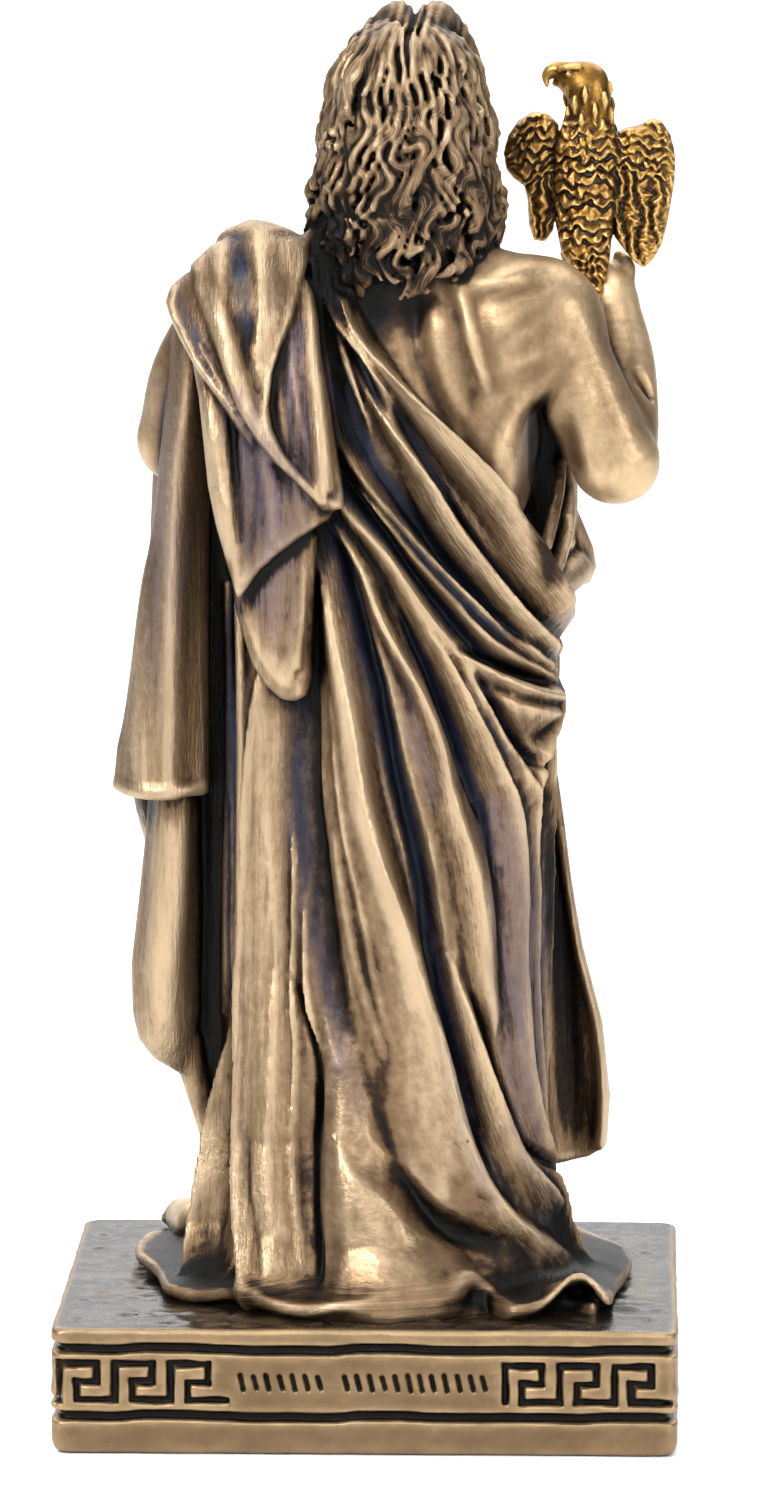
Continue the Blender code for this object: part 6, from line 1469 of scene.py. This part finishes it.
def plinth_piece():
    start_x, start_y = FRET_INSET - HALF_X, FRET_INSET - HALF_Y
    left, right = PANEL[1] + PANEL_GAP, PANEL[0] - PANEL_GAP
    back_runs = [fret_points(left, -start_x - left), fret_points(start_x, right - start_x)]
    field = new_field((-20.2, -18.0, -0.6), (20.2, 18.0, 9.2), PLINTH_STEP)
    X, Y, Z = [axis.astype(np.float32) for axis in field.axes]
    faces = [
        (groove_map(HALF_X, [fret_mirror(run) for run in back_runs], panel_marks()), X),
        (groove_map(HALF_X, [fret_points(start_x, -2 * start_x)]), X),
        (groove_map(HALF_Y, [fret_points(start_y, -2 * start_y)]), Y),
    ]
    back, front, side = [canvas.at(along[:, None] + 0 * Z, Z + 0 * along[:, None]) for canvas, along in faces]

    ground = Canvas(field.axes[:2], PLINTH_STEP)
    cells = [(wide / PLINTH_STEP, long / PLINTH_STEP) for wide, long in ((4.6, 2.0), (7.0, 5.0), (1.0, 0.8))]
    rocks = np.abs(value_noise(ground.shape, cells[0], 51))
    rocks = rocks * (0.5 + 0.5 * value_noise(ground.shape, cells[1], 54))
    small = value_noise(ground.shape, cells[2], 52)
    rim = rise(np.maximum(np.abs(X[:, None]) - HALF_X, np.abs(Y[None, :]) - HALF_Y), -1.4, 1.2)
    ground.h = (0.46 * rocks + 0.11 * small - 0.12) * (1 - rim)
    ground.roughen(0.03, 4.0, 4.0, 53)

    X, Y, Z = np.ix_(X, Y, Z)
    dy = np.maximum(Y - HALF_Y - back[:, None, :], -Y - HALF_Y - front[:, None, :])
    d = smooth_max(np.abs(X) - HALF_X - side[None, :, :], dy, 1.0)
    d = smooth_max(d, Z - TOP - ground.h[:, :, None], 0.45)
    field.d = smooth_max(d, -Z, 0.9).astype(np.float32)
    made = mesh_from("plinth_block", field, PLINTH_FACES)
    points = points_of(made)
    put_hollows(made, field, points, (0.24, 0.6, 1.5))
    x, y, z = points.T
    inside = np.maximum(np.abs(x) - HALF_X, np.abs(y) - HALF_Y)
    put(made, "topside", rise(z, 7.62, 0.2) * fall(inside, -0.12, 0.25))
    # Painted shadow and reflection of the figure on the ground round the hem.
    put(made, "painted_hem_shadow", fall(np.abs(hem_distance(x, y, 20.2, 0.3)), 1.6, 1.6) * (z > 6.5))
    settle(made, 0.0)
    return made


class Graph:
    """Short-hand for building a node tree."""

    def __init__(self, name):
        self.material = bpy.data.materials.new(name)
        self.material.use_nodes = True
        self.tree = self.material.node_tree
        self.shader = self.tree.nodes["Principled BSDF"]

    def node(self, kind, inputs):
        made = self.tree.nodes.new(kind)
        for key, value in inputs.items():
            self.set(made, key, value)
        return made

    def set(self, node, key, value):
        if isinstance(value, bpy.types.NodeSocket):
            self.tree.links.new(value, node.inputs[key])
        else:
            node.inputs[key].default_value = value

    def surface(self, inputs):
        for key, value in inputs.items():
            self.set(self.shader, key, value)
        return self.material

    def attribute(self, name, output="Fac"):
        made = self.node("ShaderNodeAttribute", {})
        made.attribute_name = name
        return made.outputs[output]

    def math(self, operation, first, *others, clamp=False):
        for other in others:
            made = self.node("ShaderNodeMath", {0: first, 1: other})
            made.operation, made.use_clamp = operation, clamp
            first = made.outputs[0]
        return first

    def add(self, *values):
        return self.math("ADD", *values)

    def times(self, *values, clamp=False):
        return self.math("MULTIPLY", *values, clamp=clamp)

    def most(self, *values):
        return self.math("MAXIMUM", *values)

    def about(self, noise, amount):
        """Noise centred on nought."""
        return self.times(self.math("SUBTRACT", noise, 0.5), amount)

    def ramp(self, value, low, high, out_low=0.0, out_high=1.0):
        made = self.node("ShaderNodeMapRange", {0: value, 1: low, 2: high, 3: out_low, 4: out_high})
        made.interpolation_type = "SMOOTHSTEP"
        return made.outputs[0]

    def mix(self, share, first, second):
        made = self.node("ShaderNodeMix", {})
        made.data_type = "RGBA"
        for key, value in ((0, share), (6, first), (7, second)):
            self.set(made, key, linear(value) if isinstance(value, str) else value)
        return made.outputs[2]

    def noise(self, vector, scale, detail=3.0, rough=0.55, stretch=None):
        if stretch:
            vector = self.node("ShaderNodeMapping", {"Vector": vector, "Scale": stretch}).outputs[0]
        inputs = {"Vector": vector, "Scale": scale, "Detail": detail, "Roughness": rough}
        return self.node("ShaderNodeTexNoise", inputs).outputs["Fac"]

    def bump(self, height, strength, distance, normal=None):
        made = self.node("ShaderNodeBump", {"Height": height, "Strength": strength, "Distance": distance})
        if normal is not None:
            self.set(made, "Normal", normal)
        return made.outputs[0]


def linear(code):
    """A colour's web code as linear red, green, blue and alpha."""
    made = []
    for k in (0, 2, 4):
        c = int(code[k:k + 2], 16) / 255
        made.append(c / 12.92 if c <= 0.04045 else ((c + 0.055) / 1.055) ** 2.4)
    return (*made, 1.0)


def bronze_material():
    """Bright on the worn ridges, stained in the hollows, darkened with painted shade in the deep gaps and
    under edges, with grey and blue washes where they are painted.
    """
    g = Graph("figure_bronze")
    place = g.node("ShaderNodeTexCoord", {}).outputs["Object"]
    grain = g.attribute("grain", "Vector")
    fine, medium, broad, tone_and_shade = [g.attribute(name) for name in ("fine", "medium", "broad", "tone_and_shade")]
    calm, cloth, hair, blue, grey = [g.attribute(name) for name in ("calm", "cloth", "hair", "blue", "grey")]
    streak = g.noise(grain, 1.0, 4.0, 0.65, (2.6, 2.6, 0.16))
    patch = g.noise(grain, 1.0, 3.0, 0.55, (0.5, 0.5, 0.10))
    scratch = g.noise(grain, 1.0, 3.0, 0.6, (6.5, 6.5, 1.8))
    combed = g.noise(grain, 1.0, 2.0, 0.5, (3.4, 3.4, 0.12))
    off_middle = g.math("ABSOLUTE", g.math("SUBTRACT", combed, 0.5), 0.0)
    strands = g.times(g.ramp(off_middle, 0.0, 0.075, 1.0, 0.0), hair)
    grit = g.noise(place, 5200.0, 2.0)
    speck = g.noise(place, 1500.0, 4.0, 0.65)

    in_the_hair = g.add(g.ramp(hair, 0.0, 1.0, 0.04, 0.31), g.times(fine, 1.1, hair), g.times(strands, -0.15))
    streaked = g.times(g.about(streak, g.ramp(calm, 0.0, 1.0, 0.62, 0.28)), g.most(cloth, g.times(hair, 1.2)))
    hollow = g.add(
        g.times(medium, 1.3), g.times(fine, 0.9), g.times(broad, g.ramp(hair, 0.0, 1.0, 0.7, 0.15)),
        tone_and_shade, in_the_hair, streaked, g.about(speck, 0.24), g.times(g.about(scratch, 0.30), cloth),
    )

    colour = g.mix(g.most(cloth, hair), "CBB18C", "B59E80")
    colour = g.mix(g.ramp(hollow, -0.55, -0.02), colour, "755F47")
    colour = g.mix(g.ramp(patch, 0.35, 0.75, 0.0, 0.35), colour, "4E3A26")
    # The stain is the dark patina of the hollows together with the painted shade that the dark strokes bring
    # in through the tone.
    stain_and_shade = g.ramp(hollow, -0.06, 0.20)
    colour = g.mix(stain_and_shade, colour, "2A1C10")
    colour = g.mix(g.ramp(hollow, 0.16, 0.38), colour, "050403")
    wash = g.times(grey, g.ramp(streak, 0.34, 0.62, 1.0, 0.25), g.ramp(hollow, 0.35, 0.10), clamp=True)
    colour = g.mix(g.times(wash, 0.8), colour, "5E5460")
    in_folds = g.times(g.ramp(hollow, -0.36, -0.06), g.ramp(hollow, 0.55, 0.25, 0.35, 1.0))
    ink = g.times(blue, g.ramp(streak, 0.42, 0.70, 1.0, 0.15), in_folds, clamp=True)
    colour = g.mix(g.times(ink, 0.85), colour, "20283C")

    painted = g.most(stain_and_shade, g.times(ink, 0.9), g.times(wash, 0.75))
    bump = g.bump(g.times(streak, g.most(cloth, hair)), 0.42, 0.00020)
    bump = g.bump(strands, 0.4, 0.00010, bump)
    bump = g.bump(g.times(scratch, cloth), 0.5, 0.00010, bump)
    bump = g.bump(grit, 0.22, 0.00004, bump)
    return g.surface({
        "Base Color": colour,
        "Specular IOR Level": 0.22,
        "Metallic": g.ramp(painted, 0.0, 1.0, 0.78, 0.42),
        "Roughness": g.add(g.times(grit, 0.16), g.ramp(painted, 0.0, 1.0, 0.34, 0.42)),
        "Normal": g.bump(speck, 0.35, 0.00012, bump),
    })


def eagle_material():
    """Gold paint, dark in the hollows and towards the left wing's tip, where its darker paint is joined by
    painted shade.
    """
    g = Graph("eagle_gilt")
    place = g.node("ShaderNodeTexCoord", {}).outputs["Object"]
    speck = g.noise(place, 1800.0, 4.0, 0.65)
    hollow = g.add(g.times(g.attribute("medium"), 1.2), g.times(g.attribute("fine"), 1.2))
    # Painted shade on the left wing's side, along with its darker paint, darkens the gold towards the tip.
    hollow = g.add(hollow, g.about(speck, 0.30), g.times(g.attribute("wing_dark_and_shade"), 0.26))
    gold = g.mix(g.ramp(hollow, -0.45, 0.0), "BA965A", "75541F")
    gold = g.mix(g.ramp(hollow, -0.07, 0.17), gold, "3A240D")
    return g.surface({
        "Base Color": g.mix(g.ramp(hollow, 0.16, 0.36), gold, "100905"),
        "Metallic": g.ramp(hollow, 0.05, 0.35, 0.85, 0.2),
        "Roughness": g.add(g.times(speck, 0.2), 0.26),
        "Normal": g.bump(speck, 0.35, 0.00012),
    })


def plinth_material():
    """Bronze sides with dark grooves, and a dark glossy ground on top, darker round the hem with painted
    shadow and reflection of the figure.
    """
    g = Graph("plinth_bronze")
    place = g.node("ShaderNodeTexCoord", {}).outputs["Object"]
    top = g.attribute("topside")
    speck = g.noise(place, 1300.0, 4.0, 0.65)
    cloud = g.noise(place, 240.0, 4.0, 0.6)
    grit = g.noise(place, 5200.0, 2.0)
    hollow = g.add(g.times(g.attribute("medium"), 1.2), g.attribute("fine"), g.about(speck, 0.14))
    bronze = g.mix(g.ramp(hollow, -0.45, 0.08), "A08867", "6F5A41")
    bronze = g.mix(g.ramp(cloud, 0.35, 0.75, 0.0, 0.45), bronze, "584430")
    bronze = g.mix(g.ramp(hollow, 0.04, 0.18), bronze, "20150C")
    bronze = g.mix(g.ramp(hollow, 0.16, 0.34), bronze, "080605")
    worn = g.add(g.times(hollow, -1.0), g.about(cloud, 0.3))
    # The ground goes darker round the hem with painted shadow and reflection of the figure.
    ground = g.mix(g.attribute("painted_hem_shadow"), g.mix(g.ramp(worn, 0.04, 0.26), "1D150E", "5C4931"), "110D0A")
    return g.surface({
        "Base Color": g.mix(top, bronze, ground),
        "Specular IOR Level": 0.42,
        "Metallic": g.times(g.ramp(hollow, 0.05, 0.3, 0.8, 0.75), g.ramp(top, 0.0, 1.0, 1.0, 0.3)),
        "Roughness": g.add(g.times(grit, 0.14), g.ramp(top, 0.0, 1.0, 0.36, 0.20)),
        "Normal": g.bump(speck, 0.25, 0.00010, g.bump(grit, 0.22, 0.00004)),
    })


# The photo's viewpoint, in metres and degrees, and its focal length against the picture's height
CAMERA_AT = (-0.0158, 0.5128, 0.116)
YAW, PITCH = 1.65, 8.28
FOCAL_SHARE = 8275.5 / 1500
SENSOR_HEIGHT = 36.0
LIGHT_TARGET = (0.0, 0.0, 0.045)
FLOOR_RADIUS = 8.0
# Lights: name, place, target, width, watts, and depth where it isn't square
LIGHTS = [
    ("backdrop", (0.0, -2.7, 2.0), (0.0, -2.7, 0.0), 4.0, 190.0, 4.6),
    ("key", (0.34, 0.44, 0.44), LIGHT_TARGET, 0.20, 4.6, None),
    ("front", (-0.05, 0.95, 0.60), LIGHT_TARGET, 0.60, 5.0, None),
    ("overhead", (0.0, 0.1, 0.8), LIGHT_TARGET, 0.50, 3.0, None),
    ("card", (0.0, -1.3, 0.32), LIGHT_TARGET, 1.6, 2.8, 0.5),
    ("fill", (-0.46, 0.34, 0.24), LIGHT_TARGET, 0.26, 1.8, None),
]


def area_light(name, place, target, size, power, size_y):
    data = bpy.data.lights.new(name, "AREA")
    data.energy, data.size = power, size
    if size_y:
        data.shape, data.size_y = "RECTANGLE", size_y
    made = bpy.data.objects.new(name, data)
    made.location = place
    made.rotation_euler = (Vector(target) - Vector(place)).to_track_quat("-Z", "Y").to_euler()
    bpy.context.scene.collection.objects.link(made)


def make_stage():
    """A plain pale floor, a faint white world and soft lights."""
    turns = [2 * math.pi * k / 64 for k in range(64)]
    ring = [(FLOOR_RADIUS * math.cos(turn), FLOOR_RADIUS * math.sin(turn), 0.0) for turn in turns]
    mesh = bpy.data.meshes.new("floor")
    mesh.from_pydata(ring, [], [tuple(range(64))])
    floor = bpy.data.objects.new("floor", mesh)
    mesh.materials.append(Graph("floor").surface({"Base Color": (0.93, 0.93, 0.93, 1.0), "Roughness": 0.6}))
    bpy.context.scene.collection.objects.link(floor)
    world = bpy.data.worlds.new("world")
    bpy.context.scene.world = world
    world.use_nodes = True
    sky = world.node_tree.nodes["Background"].inputs
    sky["Color"].default_value = (1.0, 1.0, 1.0, 1.0)
    sky["Strength"].default_value = 0.10
    for light in LIGHTS:
        area_light(*light)


def make_camera():
    yaw, pitch = math.radians(YAW), math.radians(PITCH)
    forward = Vector((math.sin(yaw) * math.cos(pitch), -math.cos(yaw) * math.cos(pitch), -math.sin(pitch)))
    right = forward.cross(Vector((0, 0, 1))).normalized()
    data = bpy.data.cameras.new("camera")
    data.sensor_fit, data.sensor_height, data.lens = "VERTICAL", SENSOR_HEIGHT, FOCAL_SHARE * SENSOR_HEIGHT
    data.clip_end = 50.0
    camera = bpy.data.objects.new("camera", data)
    matrix = Matrix((right, right.cross(forward), -forward)).transposed().to_4x4()
    matrix.translation = CAMERA_AT
    camera.matrix_world = matrix
    bpy.context.scene.collection.objects.link(camera)
    bpy.context.scene.camera = camera


def main():
    bpy.context.scene.view_settings.view_transform = "Standard"
    pieces = [
        (figure_piece(), bronze_material(), "zeus_figure", "figure_bronze"),
        (eagle_piece(), eagle_material(), "eagle", "eagle_gilt"),
        (plinth_piece(), plinth_material(), "plinth", "plinth_bronze"),
    ]
    for piece, material, node, slot in pieces:
        piece.data.materials.clear()
        piece.data.materials.append(material)
        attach(piece, "root")
        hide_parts(node)
    make_stage()
    make_camera()


main()
